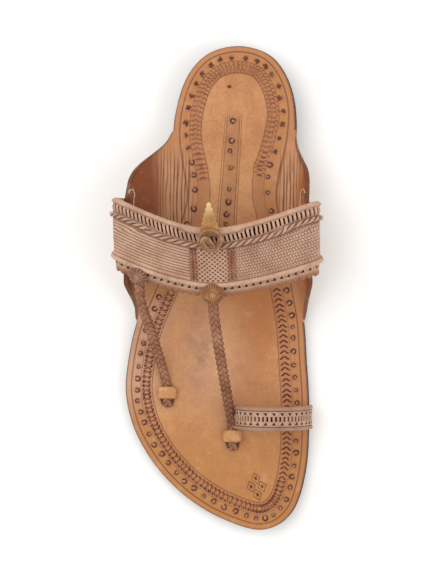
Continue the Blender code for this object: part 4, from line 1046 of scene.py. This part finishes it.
# Stations 2 and 3 of each rung are its slot's sides: at the tip they come together
station = np.arange(len(band_at))
to_middle = (RUNG_MARKS[[0, 0, 3, 3]] - RUNG_MARKS)[station % 4] * (station % 4 >= 2)
to_middle[1:] += ((RUNG_MARKS[3] - 1.0) * (station % 4 == 0))[1:]
at = at + to_middle[:, None] * RUNG_PITCH * 0.8 * (np.abs(band_across - LACE_TIP) < 1e-6)
across = np.broadcast_to(band_across, at.shape)
crest_at = LATERAL_RUN[-1]
COLUMNS = (crest_at - 0.0104, crest_at + 0.0116)
ribs = np.where(in_panel & (at < COLUMNS[0]), 0.00016 * np.cos(2 * np.pi * row_share), 0.0)
STRIP_STEP = 0.780
strip_rise = np.where(across > STRIP_STEP, STRIP_WALL, 0.0)
strip_room = np.where(across > STRIP_STEP, STRIP_WALL + FIT_GAP, 0.0)
band_outer, _ = over_band(at, across, ON_INSOLE + BAND_WALL + strip_rise + relief + ribs)
band_inner, _ = over_band(at, across, ON_INSOLE + strip_room)
keep = np.ones((len(band_at) - 1, len(band_across) - 1), bool)
laced = (band_across[:-1] >= LACE_START - 1e-6) & (band_across[1:] <= LACE_END + 1e-6)
slot_rows = np.arange(len(keep)) % 4 >= 2
slot_rows[:8] = slot_rows[-8:] = False
keep[np.ix_(slot_rows, laced)] = False
tall_rows = slot_rows & (np.arange(len(keep)) % 8 >= 4)
tips = (band_across[:-1] >= LACE_TIP - 1e-6) & (band_across[1:] <= LACE_START + 1e-6)
keep[np.ix_(tall_rows, tips)] = False
print(rungs, "rungs,", len(band_across), "lines across")

# %% [markdown]
# ### Band leather
# Rose tan goat leather. The lateral third of the panel is sewn in rows of short dashes, the middle is a
# small basket weave, and the medial third is a net of slanted strokes, row by row.

# %% Band leather
rose = leather("rose tan strap leather", "#ad856f", "#bd977e", "#cba78d", mottle=0.010, grain=0.0006,
               rough=0.6)
tree = rose["tree"]
band_map = flat_map(tree, "band")
u, v = (band_map, 0), (band_map, 1)
# Dashes: rows ROW_PITCH apart, a dash each DASH_PITCH, and each row half a dash on from the last
DASH_PITCH = 0.0019
row = work_out(tree, "DIVIDE", v, ROW_PITCH)
row_place, row_number = work_out(tree, "FRACT", row), work_out(tree, "FLOOR", row)
row_dark = spread(tree, work_out(tree, "PINGPONG", row_place, 0.5), 0.17, 0.09)
half_on = work_out(tree, "MULTIPLY_ADD", row_number, 0.5, work_out(tree, "DIVIDE", u, DASH_PITCH))
dash = spread(tree, work_out(tree, "PINGPONG", half_on, 0.5), 0.08, 0.16)
dash = work_out(tree, "MULTIPLY", dash, row_dark)
# Basket: dark where the two waves differ in sign, which is where the strands lie low: painted shade in the
# weave
woven = spread(tree, basket(tree, band_map, (0.0030, 0.0024)), -0.1, -0.5)
# Net: slanted strokes in rows, every other row leaning the other way
NET_LEAN, NET_PITCH = 0.0011, 0.0017
parity = work_out(tree, "FLOORED_MODULO", row_number, 2.0)
lean_by = work_out(tree, "MULTIPLY_ADD", parity, 2 * NET_LEAN, -NET_LEAN)
slanted = work_out(tree, "MULTIPLY_ADD", row_place, lean_by, u)
slanted = work_out(tree, "PINGPONG", work_out(tree, "DIVIDE", slanted, NET_PITCH), 0.5)
net = work_out(tree, "MAXIMUM", spread(tree, slanted, 0.17, 0.07), work_out(tree, "MULTIPLY", row_dark, 0.7))
for label, pattern, colour, most in (("rows", dash, "#553628", 0.92), ("weave", woven, "#5e3528", 0.92),
                                     ("net", net, "#5e3a2c", 0.80)):
    amount = work_out(tree, "MULTIPLY", attribute(tree, label), pattern)
    press(rose, amount, -3.0)
    stain(rose, work_out(tree, "MULTIPLY", amount, most), colour)
# Painted shade: darker in the band's grooves, in front of the whipped cord, and under the lacing
stain(rose, attribute(tree, "groove"), "#3d231a")
rose_leather = finish_leather(rose, coat=0.05)

# %% The band
panel = np.broadcast_to(in_panel, at.shape).astype(float)
zones = {"rows": panel * (at < COLUMNS[0]), "weave": panel * (at >= COLUMNS[0]) * (at < COLUMNS[1]),
         "net": panel * (at >= COLUMNS[1]), "groove": sum(
             dark * trough(across, place, width) for dark, place, width in (
                 (0.8, 0.798, 0.004), (0.7, 0.874, 0.004), (0.55, 0.072, 0.008), (0.6, 0.196, 0.010),
                 (0.85, 0.286, 0.011)))}
zones = {label: np.stack([value, value * 0]) for label, value in zones.items()}
# On the inner face, painted shade under the lacing, seen through its slots
zones["groove"][1] = 0.95 * (np.abs(across - (LACE_TIP + LACE_END) / 2) < 0.075)
band_uv = {"band": on_both(np.stack([at, across * BAND_ACROSS], axis=-1))}
piece("instep_band", wall(band_outer, band_inner, keep), rose_leather, "upper_straps", band_uv, zones)

# %% Lining under the lacing
# The lining is real, but coloured almost black as painted shade, which shows through the open slots
lining_at, lining_across = np.meshgrid(np.linspace(0.004, BAND_TOTAL - 0.004, 160),
                                       np.linspace(0.068, 0.200, 6), indexing="ij")
lining_and_hole_shade = plain_leather("dark lining and painted shade in holes", "#24140f", "#301b14", "#3f261c", mottle=0.006, rough=0.8)
piece("lacing_lining", wall(*(over_band(lining_at, lining_across, ON_INSOLE + rise)[0]
                              for rise in (0.0007, 0.0002))),
      lining_and_hole_shade, "upper_straps")


# %% [markdown]
# ### Whipped cord
# Two plies of leather twisted together lie in a groove beside the lacing, and two shorter, redder ones run
# across the panel. The section is a figure of two lobes that turns as it travels.

# %% Twisted cords
def lay_cord(name, at, across, height, radius, lobe_pitch, look, sides):
    """Two round plies over the band that wind round one another. Each ply's middle circles the path at half
    the radius, half a turn for each lobe."""
    path, ups = over_band(at, across, ON_INSOLE + BAND_WALL + height)
    turn = np.pi * lengths(path) / lobe_pitch
    side, up = across_path(path, ups)
    plies = []
    for ply in (0.0, math.pi):
        out = side * np.cos(turn + ply)[:, None] + up * np.sin(turn + ply)[:, None]
        plies.append(round_bar(path + out * radius * 0.50, out, radius * 0.58, sides))
    # Painted shade: each ply is darker on its lower side, where the cord shades itself
    shade_and_dark_edge = np.clip(0.42 - 0.9 * np.sin(around(sides)), 0, 1) ** 1.3
    piece(name, together(plies), look, "upper_straps", None, {"shade_and_dark_edge": np.tile(shade_and_dark_edge, 2 * (len(path) + 2))},
          sharp=70)


cord_leather = plain_leather("whipped cord leather", "#9c7660", "#b58e76", "#c9a38a", "#5c3626", 0.05,
                             mottle=0.005, grain=0.0005, rough=0.55)
CORD_ACROSS, CORD_RADIUS, CORD_PITCH = 0.240, 0.00145, 0.0045
lay_cord("whipped_cord", np.linspace(0.002, BAND_TOTAL - 0.002, 620), CORD_ACROSS, 0.0006, CORD_RADIUS,
         CORD_PITCH, cord_leather, 10)
red_leather = plain_leather("reddish cord leather", "#855442", "#9b6a55", "#b28069", "#5c3022", mottle=0.004,
                            grain=0.0005, rough=0.55)
PANEL_CORD_RADIUS, PANEL_CORD_PITCH = 0.00115, 0.0020
for label, column in zip(("lateral", "medial"), COLUMNS):
    for number, aside in enumerate((-0.0010, 0.0010)):
        lay_cord(f"panel_cord_{label}_{number}", column + aside, np.linspace(0.300, 0.782, 90), 0.0002,
                 PANEL_CORD_RADIUS, PANEL_CORD_PITCH, red_leather, 8)

# %% [markdown]
# ### Pinked strip
# A thin pale strip under the band's front edge, punched with triangles and cut with a pinking iron into
# scallops.

# %% Pinked strip
scallops = int(BAND_TOTAL / SCALLOP_PITCH)
STATIONS = 14
strip_at = np.linspace(0, BAND_TOTAL, scallops * STATIONS + 1)
depth = SCALLOP_DEPTH / BAND_ACROSS
lobe = depth * np.sin(np.pi * (np.arange(len(strip_at)) % STATIONS) / STATIONS) ** 0.55
fixed = np.array((STRIP_START, 0.88, 0.91, 0.94, 0.97))
front_share = np.array((0.0, 0.4, 0.75, 0.93, 1.0))
strip_across = np.concatenate([np.broadcast_to(fixed, (len(strip_at), 5)),
                               0.985 + (0.015 + lobe[:, None]) * front_share], axis=1)
edge_drop = np.array([0.0] * 8 + [0.00015, 0.00045])
strip_outer, _ = over_band(strip_at[:, None], strip_across, ON_INSOLE + STRIP_WALL - edge_drop)
strip_inner, _ = over_band(strip_at[:, None], strip_across, ON_INSOLE)
strip_leather = plain_leather("pale pinked leather", "#a5826c", "#b9967e", "#cbad95", "#8a5b40", mottle=0.008,
                              grain=0.0005, rough=0.6)
darker_to_front = np.broadcast_to([0.15] * 4 + [0.3, 0.7, 0.9] + [0.95] * 3, strip_across.shape)
piece("pinked_strip", wall(strip_outer, strip_inner), strip_leather, "pinked_strip", None,
      {"shade_and_dark_edge": on_both(darker_to_front)})


# %% Punched triangles
def laid_on_band(at, across, height):
    """Places over the band with their axes: along it, forward and outward."""
    place, outward = over_band(at, across, height)
    ahead = unit(over_band(at, across + 0.02, height)[0] - place)
    return place, np.stack([np.cross(ahead, outward), ahead, outward], axis=-2)


hole_at = (np.arange(scallops) + 0.5) * BAND_TOTAL / scallops
place, hole_axes = laid_on_band(hole_at, 0.925, ON_INSOLE + STRIP_WALL - 0.0001)
# Painted shade: each punched triangle is a dark flat prism at the strip's surface, for the shade inside the
# hole
piece("strip_triangles", copies(prism(), place, turned(hole_axes, 0.5), (0.00150, 0.00120, 0.00020)),
      lining_and_hole_shade, "pinked_strip")
# Painted highlights: a pale glint beside each punched triangle
place, _ = laid_on_band(hole_at + 0.0022, 0.922, ON_INSOLE + STRIP_WALL)
piece("strip_glints", copies(ball(5, 6), place, hole_axes, (0.0008, 0.0005, 0.0002)), highlight_leather,
      "pinked_strip")

# %% [markdown]
# ## Toe loop
# A strap that comes up from between the soles, over the big toe and down to the centre braid, with the band's
# rolled edges, a ladder in its middle and two rows of triangles.

# %% Toe loop
loop_along = LOOP_CENTRE_Y / SOLE_LENGTH
loop_floor = insole_top(loop_along)
tongue_z = outsole_bottom(loop_along) + OUTSOLE_THICKNESS - LOOP_WALL / 2
leg_x = toe_loop_leg()
inner_x = CENTRE_BRAID_END[0] - BRAID_END_WIDTH / 2 - LOOP_WALL / 2 + LOOP_OVERLAP
middle_x, half_x = (leg_x + inner_x) / 2, (inner_x - leg_x) / 2
corner = LOOP_WALL * 0.75
bend = np.linspace(0, math.pi / 2, 8)
tongue = np.stack([leg_x + corner * (1 - np.sin(bend)), tongue_z + corner * (1 - np.cos(bend))], axis=-1)
tongue = np.concatenate([[(leg_x + LOOP_TONGUE, tongue_z)], [(leg_x + LOOP_TONGUE / 2, tongue_z)], tongue])
arch_angle = np.linspace(0, math.pi, 400)
arch = np.stack([middle_x - half_x * np.cos(arch_angle), loop_floor + LOOP_HEIGHT * np.sin(arch_angle)],
                axis=-1)
arch = arch[(arch_angle < 1.57) | (arch[:, 1] > loop_floor + FIT_GAP)]
loop_line = np.concatenate([tongue, arch[1:]])
loop_run = lengths(loop_line)
arch_start = loop_run[len(tongue)]
LOOP_RUNG = 0.00235
loop_rungs = int((loop_run[-1] - arch_start) / LOOP_RUNG)
loop_at = arch_start + np.append((np.arange(loop_rungs)[:, None] + RUNG_MARKS).ravel(), loop_rungs) * (
    loop_run[-1] - arch_start) / loop_rungs
loop_at = np.concatenate([loop_run[:len(tongue)], loop_at])


def over_loop(at, share, height):
    """Points over the toe loop: its line in x and z, its width along y, height along the line's normal."""
    at, share, height = np.broadcast_arrays(at, share, height)
    x, z = (np.interp(at, loop_run, loop_line[:, axis]) for axis in (0, 1))
    ahead_x, ahead_z = (np.interp(at + 0.0004, loop_run, loop_line[:, axis]) - np.interp(
        at - 0.0004, loop_run, loop_line[:, axis]) for axis in (0, 1))
    size = np.hypot(ahead_x, ahead_z)
    outward = np.stack([-ahead_z / size, ahead_x * 0, ahead_x / size], axis=-1)
    place = np.stack([x, LOOP_Y + (share - 0.5) * LOOP_WIDTH, z], axis=-1)
    return place + outward * height[..., None], outward


loop_share, loop_relief = LOOP_PROFILE.T
rise = ease(arch_start, arch_start + 0.002, loop_at)
loop_outer, _ = over_loop(loop_at[:, None], loop_share,
                          LOOP_WALL / 2 + LOOP_RELIEF * loop_relief * rise[:, None])
loop_inner, _ = over_loop(loop_at[:, None], loop_share, -LOOP_WALL / 2)
loop_keep = np.ones((len(loop_at) - 1, len(loop_share) - 1), bool)
rows = np.arange(len(loop_keep)) - len(tongue)
slot_rows = (rows % 4 >= 2) & (rows >= 8) & (rows < rows[-1] - 10)
loop_keep[np.ix_(slot_rows, (loop_share[:-1] >= 0.40 - 1e-6) & (loop_share[1:] <= 0.60 + 1e-6))] = False
loop_grid_at = np.broadcast_to(loop_at[:, None], loop_outer.shape[:2])
loop_map = np.stack([loop_grid_at, np.broadcast_to(loop_share * LOOP_WIDTH, loop_grid_at.shape)], axis=-1)
LOOP_SHADE = 0.15
# Painted shade: darker in the loop's two grooves and towards both edges, and a little everywhere on its outer
# face
loop_groove_shade = 0.8 * (trough(loop_share, 0.17, 0.012) + trough(loop_share, 0.83, 0.012))
loop_groove_shade += 0.22 * (trough(loop_share, 0.07, 0.07) + trough(loop_share, 0.93, 0.07))
loop_zones = {label: np.zeros((2, *loop_grid_at.shape)) for label in ("rows", "weave", "net", "groove")}
loop_zones["groove"][0] = loop_groove_shade + LOOP_SHADE
piece("toe_loop", wall(loop_outer, loop_inner, loop_keep), rose_leather, "upper_straps",
      {"band": on_both(loop_map)}, loop_zones)
# The loop's lining under the ladder is coloured almost black as painted shade in its slots
lining_at = np.linspace(arch_start + 0.003, loop_run[-1] - 0.004, 60)[:, None]
piece("toe_loop_lining", wall(*(over_loop(lining_at, np.array([0.40, 0.47, 0.53, 0.60]), rise)[0]
                                for rise in (0.0, -0.0006))), lining_and_hole_shade, "upper_straps")
# Painted shade: each punched triangle is a dark flat prism at the loop's surface, for the shade in the hole
TRIANGLE_PITCH = 0.0047
mark_at = np.arange(arch_start + 0.004, loop_run[-1] - 0.003, TRIANGLE_PITCH)
for label, share, spin in (("rear", 0.29, -0.5), ("front", 0.71, 0.5)):
    place, outward = over_loop(mark_at, share, LOOP_WALL / 2 + 0.00006)
    ahead = np.broadcast_to((0.0, 1.0, 0.0), place.shape)
    axes = turned(np.stack([np.cross(ahead, outward), ahead, outward], axis=-2), spin)
    piece(f"loop_triangles_{label}", copies(prism(), place, axes, (0.00140, 0.00115, 0.00018)),
          lining_and_hole_shade, "upper_straps")


# %% [markdown]
# ## Braids
# Each braid is a flat three-strand plait. A strand swings from side to side once a turn and dips under its
# neighbours twice as often, which is what makes them cross without touching. The route comes off the band,
# falls to the insole and ends under a raised loop of insole leather, the bridge.

# %% The braid's route
def braid_route(turn, end, fall):
    """Middle line and up directions: over the strip, down by the table, then level to the tip."""
    low = INSOLE_THICKNESS + 2 * FIT_GAP + STRIP_WALL + BRAID_END_THICKNESS / 2
    across = np.array((0.90, 1.00, 1.10, 1.20, 1.28))
    at = np.interp(turn, BAND_TURNS, LATERAL_RUN)
    first, first_up = over_band(np.full(5, at), across, low)
    start, end_along = first[-1], end[1] / SOLE_LENGTH
    rest_along = share_of(world_y(end_along) - BRIDGE_BEFORE_TIP - BRIDGE_LENGTH / 2)
    clearance = FIT_GAP + BRAID_END_THICKNESS / 2
    drop = start[2] - insole_top(rest_along) - clearance
    share = np.linspace(0, 1, 25)[1:]
    along = share_of(start[1]) * (1 - share) + rest_along * share
    table = np.array(fall)
    z = insole_top(along) + clearance + drop * through(table[:, 0], table[:, 1], share)
    second = np.stack([start[0] + (end[0] - start[0]) * share, world_y(along), z], axis=-1)
    lean = (1 - ease(0.0, 0.5, share))[:, None]
    second_up = unit(first_up[-1] * lean + np.array((0.0, 0.0, 1.0)) * (1 - lean))
    along = rest_along + (end_along - rest_along) * np.linspace(0, 1, 5)[1:]
    third = np.stack([np.full(4, end[0]), world_y(along), insole_top(along) + clearance], axis=-1)
    path = np.concatenate([first, second, third])
    ups = np.concatenate([first_up, second_up, np.tile((0.0, 0.0, 1.0), (4, 1))])
    run = lengths(path)
    fine = np.linspace(0, run[-1], 420)
    return smooth_line(run, path, fine), smooth_line(run, ups, fine)


plait_leather = plain_leather("plaited strap leather", "#80543d", "#98694d", "#b08262", "#3f231a", 0.05,
                              mottle=0.010, grain=0.0005, rough=0.55)


def make_plait(name, turn, end, fall, period=0.0114):
    """Three strands: side sin(a), lift sin(2a), with a = 2π run/period and a third of a turn between
    strands."""
    route, ups = braid_route(turn, end, fall)
    run = lengths(route)
    side, up = across_path(route, ups)
    at_bridge = run[-1] - BRIDGE_BEFORE_TIP - BRIDGE_LENGTH
    to_end = 1 - ease(at_bridge - 0.020, at_bridge, run)
    swell = to_end * ease(0.018, 0.026, run)
    thick = BRAID_END_THICKNESS + (BRAID_THICKNESS - BRAID_END_THICKNESS) * swell
    wide = BRAID_END_WIDTH + (BRAID_WIDTH - BRAID_END_WIDTH) * to_end
    angle = around(10)
    # Painted shade: each strand is darker towards its sides, where it meets its neighbours
    strand_side_shade = {"shade_and_dark_edge": np.broadcast_to(0.75 * np.abs(np.cos(angle)) ** 3, (len(route) + 2, len(angle)))}
    for number in range(3):
        swing = 2 * math.pi * (run / period + number / 3)
        aside, lift = wide * 0.285 * np.sin(swing), thick * 0.20 * np.sin(2 * swing)
        path = route + side * aside[:, None] + up * lift[:, None]
        path += up * ((thick - BRAID_END_THICKNESS) / 2)[:, None]
        beside = (wide * 0.235)[:, None] * np.sign(np.cos(angle)) * np.abs(np.cos(angle)) ** 0.8
        piece(f"{name}_{number}", sweep(path, up, beside, (thick * 0.27)[:, None] * np.sin(angle)),
              plait_leather, "upper_straps", None, strand_side_shade, sharp=70)


# %% Both braids
make_plait("centre_braid", CREST_TURN, CENTRE_BRAID_END, CENTRE_FALL)
make_plait("side_braid", SIDE_BRAID_TURN, SIDE_BRAID_END, SIDE_FALL)

# %% [markdown]
# ### Braid ends and bridges
# Past the bridge the strands are fanned out and cut to a half round. The bridge is a strip of insole
# leather, raised with a tool between two cuts.

# %% Fans and bridges
fan_leather = plain_leather("fanned strand ends", "#5c3623", "#784a30", "#96653f", "#331b14", mottle=0.004,
                            grain=0.0004, rough=0.55)
raised_leather = plain_leather("raised insole leather", "#ad784c", "#be8a5c", "#d0a173", coat=0.1,
                               mottle=0.006, grain=0.0006, rough=0.5)
FAN_REACH, FAN_HALF_WIDTH, FAN_BEFORE_TIP = 0.0052, 0.0042, 0.0046


def make_fan(name, end):
    """A half disc of ridges: radius shares by angle, up to 1.6 mm high with five cosine ridges, round at
    the rim."""
    share, angle = np.meshgrid(np.linspace(0, 1, 12), np.linspace(0, math.pi, 61), indexing="ij")
    rim = 1 + 0.05 * np.cos(angle * 10)
    x = end[0] + FAN_HALF_WIDTH * share * rim * np.cos(angle)
    y = world_y(end[1] / SOLE_LENGTH) - FAN_BEFORE_TIP + FAN_REACH * share * rim * np.sin(angle)
    ridge = 0.5 + 0.5 * np.cos(angle * 10)
    floor = insole_top(share_of(y)) + FIT_GAP
    top = floor + 0.0006 + (0.0010 * (0.6 + 0.4 * ridge)) * np.sqrt(np.clip(1 - share**4, 0, 1))
    # Painted shade between the ridges, and darker towards the rim
    dark = 0.8 * (1 - ridge) + 0.6 * share**6
    piece(name, wall(*(np.stack([x, y, z], axis=-1) for z in (top, floor))), fan_leather, "upper_straps",
          None, {"shade_and_dark_edge": on_both(dark).clip(0, 1)})


def make_bridge(name, end):
    """An arch across the braid: a rounded box of cosine and sine to the power 0.6, thinner at its two
    edges."""
    angle, share = np.meshgrid(np.linspace(0, math.pi, 48), np.linspace(-1, 1, 15), indexing="ij")
    centre_y = world_y(end[1] / SOLE_LENGTH) - BRIDGE_BEFORE_TIP
    floor = insole_top(end[1] / SOLE_LENGTH) + FIT_GAP
    clear_width, clear_height = BRAID_END_WIDTH / 2 + 2 * FIT_GAP, BRAID_END_THICKNESS + 2 * FIT_GAP
    grids = []
    swell = BRIDGE_WALL * (0.45 + 0.55 * np.sqrt(np.clip(1 - share**4, 0, 1)))
    for reach, rise in ((BRIDGE_WIDTH / 2 - 0.0012 * share**4, clear_height + swell),
                        (clear_width, clear_height)):
        x = end[0] + reach * np.sign(np.cos(angle)) * np.abs(np.cos(angle)) ** BRIDGE_ROUND
        z = floor + rise * np.sin(angle) ** BRIDGE_ROUND
        grids.append(np.stack([x, centre_y + BRIDGE_LENGTH / 2 * share, z], axis=-1))
    piece(name, wall(*grids), raised_leather, name)


for label, end in (("centre", CENTRE_BRAID_END), ("side", SIDE_BRAID_END)):
    make_fan(f"braid_fan_{label}", end)
    make_bridge(f"bridge_{label}", end)


# %% [markdown]
# ## Rosettes, knot and tab
# The rosettes are discs cut into a fringe all round, curled over a dome. The knot is one thick strand
# folded back over itself, with a woven golden tab behind it.

# %% Rosettes
def make_rosette(name, turn, diameter, flutes, label, tones):
    """A polar grid: height is a dome plus flutes that grow to the rim, the radius is scalloped by the
    flutes."""
    at = np.interp(turn, BAND_TURNS, LATERAL_RUN)
    base = INSOLE_THICKNESS + 3 * FIT_GAP + STRIP_WALL + BRAID_END_THICKNESS
    place, axes = laid_on_band(np.array([at]), ROSETTE_ACROSS, base)
    sideways, ahead, outward = axes[0]
    share, angle = np.meshgrid(np.linspace(0, 1, 20), np.linspace(0, 2 * math.pi, flutes * 8 + 1),
                               indexing="ij")
    flute = np.cos(angle * flutes)
    reach = diameter / 2 * share * (1 + 0.035 * flute * ease(0.6, 1.0, share))
    dome = 0.0021 * (1 - 0.55 * share**2) - 0.0011 * ease(0.82, 1.0, share)
    dome += 0.00028 * flute * ease(0.30, 0.65, share) - 0.0004 * trough(share, 0.34, 0.06)
    flat = sideways * np.cos(angle)[..., None] + ahead * np.sin(angle)[..., None]
    inner = place + flat * reach[..., None]
    # Painted shade between the flutes and in the ring groove round the dome's middle
    dark = 0.75 * (0.5 - 0.5 * flute) * ease(0.35, 0.8, share) + 0.5 * trough(share, 0.34, 0.05)
    look = plain_leather(label, *tones, "#4c2a1c", 0.05, mottle=0.004, grain=0.0005, rough=0.55)
    piece(name, wall(inner + outward * dome[..., None], inner,
                     joined=(FIRST_COLUMN, LAST_COLUMN, FIRST_ROW)), look,
          name, None, {"shade_and_dark_edge": on_both(dark)}, sharp=80)


for name, turn, diameter, flutes, label, tones in (
        ("rosette_centre", CREST_TURN, 0.0135, 26, "orange tan rosette leather",
         ("#91603f", "#a8734b", "#c08d62")),
        ("rosette_side", SIDE_BRAID_TURN, 0.0115, 15, "rose rosette leather",
         ("#805a49", "#966e5b", "#ab8470"))):
    make_rosette(name, turn, diameter, flutes, label, tones)

# %% Knot
KNOT_SIDES = 14
knot_at = np.array([LATERAL_RUN[-1]])
knot_place, knot_axes = laid_on_band(knot_at, KNOT_ACROSS, 0.0)
route = smooth_line(np.arange(len(KNOT_FOLDS)), KNOT_FOLDS * KNOT_SIZE,
                    np.linspace(0, len(KNOT_FOLDS) - 1, 240))
route[:, 2] += INSOLE_THICKNESS + 3 * FIT_GAP + BAND_WALL + BAND_RELIEF + TAB_THICKNESS + KNOT_STRAND / 2
route = knot_place + np.einsum("na,ab->nb", route, knot_axes[0])
share = np.linspace(-1, 1, len(route))
angle = around(KNOT_SIDES)
thick = KNOT_STRAND / 2 * np.sqrt(np.clip(1 - share**20, 0.15, 1))[:, None] * (1 - 0.16 * trough(
    angle, math.pi / 2, 0.30))
# Painted shade along the groove on top of the strand and on its underside
knot_shade = 0.85 * trough(angle, math.pi / 2, 0.25) + 0.5 * (np.sin(angle) < -0.3)
knot_leather = plain_leather("knotted strand leather", "#855c42", "#a37856", "#bf956f", "#321b13",
                             mottle=0.006, grain=0.0005, rough=0.5)
piece("knot", sweep(route, np.broadcast_to(knot_axes[0, 2], route.shape), thick * np.cos(angle),
                    thick * np.sin(angle)), knot_leather, "knot", None,
      {"shade_and_dark_edge": np.broadcast_to(knot_shade, (len(route) + 2, KNOT_SIDES))}, sharp=70)

# %% Golden tab
gold = leather("woven gold thread", "#9c6c36", "#ba8648", "#d4a765", mottle=0.008, grain=0.0006,
               depth=0.00012, rough=0.42)
tree = gold["tree"]
weave = basket(tree, flat_map(tree, "weave"), (0.0011, 0.0011))
press(gold, weave, 1.5)
# Painted shade where the weave lies low
stain(gold, spread(tree, weave, 0.1, -0.7, 0.0, 0.35), "#74501f")
stain(gold, attribute(tree, "tip"), "#e2c68c")
TEETH = 7
tab_share, tab_side = np.meshgrid(np.linspace(0, 1, TEETH * 8 + 1), np.linspace(-1, 1, 17), indexing="ij")
tooth = 0.064 * TAB_WIDTH * (1 - np.abs(2 * ((tab_share * TEETH) % 1) - 1))
reach = TAB_WIDTH / 2 * (1 - tab_share) + tooth + TAB_WIDTH * 0.03
tab_base = INSOLE_THICKNESS + 2 * FIT_GAP + BAND_WALL + BAND_RELIEF
tab_place, tab_axes = laid_on_band(knot_at, TAB_ACROSS, 0.0)
tab_grids = [tab_place[0] + np.stack([tab_side * reach, -tab_share * TAB_LENGTH, height],
                                     axis=-1) @ tab_axes[0]
             for height in (tab_base + TAB_THICKNESS - 0.0003 * tab_side**4, np.full(reach.shape, tab_base))]
tab_map = np.stack([tab_side * reach, tab_share * TAB_LENGTH], axis=-1)
piece("knot_tab", wall(*tab_grids), finish_leather(gold, sheen=0.3), "knot_tab", {"weave": on_both(tab_map)},
      {"tip": on_both(0.85 * ease(0.45, 1.0, tab_share))})

# %% [markdown]
# ## Floor, light and camera
# A pale floor, one large soft light on the lateral side by the heel and a weaker one on the medial side, as
# in a catalogue. The camera hangs over the sandal, 5 degrees to its medial side, with the toe down in the
# picture.

# %% Floor and world
def pale_floor():
    """Matt white card with a trace of tone."""
    material = bpy.data.materials.new("white card")
    material.use_nodes = True
    shader = material.node_tree.nodes["Principled BSDF"]
    paper = add(material.node_tree, "TexNoise", {"Scale": 3.0})
    tone = add(material.node_tree, "ValToRGB", {0: (paper, 0)},
               stops=[(0.3, linear("#f8f7f5")), (0.7, linear("#fbfaf9"))])
    material.node_tree.links.new(tone.outputs[0], shader.inputs["Base Color"])
    shader.inputs["Roughness"].default_value = 0.9
    return material


FLOOR_HALF = 1.5
floor_mesh = bpy.data.meshes.new("floor")
corners = np.array([(-1, -1, 0), (1, -1, 0), (1, 1, 0), (-1, 1, 0)], float) * FLOOR_HALF
floor_mesh.from_pydata(corners, [], np.array([[0, 1, 2, 3]]))
floor_mesh.materials.append(pale_floor())
floor = bpy.data.objects.new("floor", floor_mesh)
bpy.context.collection.objects.link(floor)
world = bpy.data.worlds.new("soft studio")
world.use_nodes = True
world.node_tree.nodes["Background"].inputs["Color"].default_value = linear("#ffffff")
world.node_tree.nodes["Background"].inputs["Strength"].default_value = 0.76
bpy.context.scene.world = world
bpy.context.scene.view_settings.view_transform = "Standard"

# %% Lights
def soft_light(name, place, target, size, power):
    """A square light that looks at a target."""
    data = bpy.data.lights.new(name, "AREA")
    data.size, data.energy = size, power
    light = bpy.data.objects.new(name, data)
    light.location = place
    away = Vector(place) - Vector(target)
    light.rotation_euler = away.to_track_quat("Z", "Y").to_euler()
    bpy.context.collection.objects.link(light)


SHOE_MIDDLE = (0.0118, 0.107, 0.015)
soft_light("key", (0.75, -0.35, 0.95), SHOE_MIDDLE, 1.6, 11.0)
soft_light("fill", (-0.9, 0.35, 0.8), SHOE_MIDDLE, 1.0, 6.0)

# %% Camera
IMAGE_WIDTH, IMAGE_HEIGHT = 433, 577
CAMERA_ANGLE, CAMERA_DISTANCE, METRES_PER_PIXEL = math.radians(5.0), 1.35, 0.000600
camera_data = bpy.data.cameras.new("camera")
camera_data.sensor_fit = "VERTICAL"
camera_data.sensor_height = 36.0
camera_data.lens = 36.0 * CAMERA_DISTANCE / (IMAGE_HEIGHT * METRES_PER_PIXEL)
camera = bpy.data.objects.new("camera", camera_data)
back = np.array((-math.sin(CAMERA_ANGLE), 0.0, math.cos(CAMERA_ANGLE)))
up = np.array((0.0, -1.0, 0.0))
right = np.cross(up, back)
matrix = np.eye(4)
matrix[:3, 0], matrix[:3, 1], matrix[:3, 2] = right, up, back
matrix[:3, 3] = np.array(SHOE_MIDDLE) + back * CAMERA_DISTANCE
camera.matrix_world = matrix.T.tolist()
bpy.context.collection.objects.link(camera)
bpy.context.scene.camera = camera
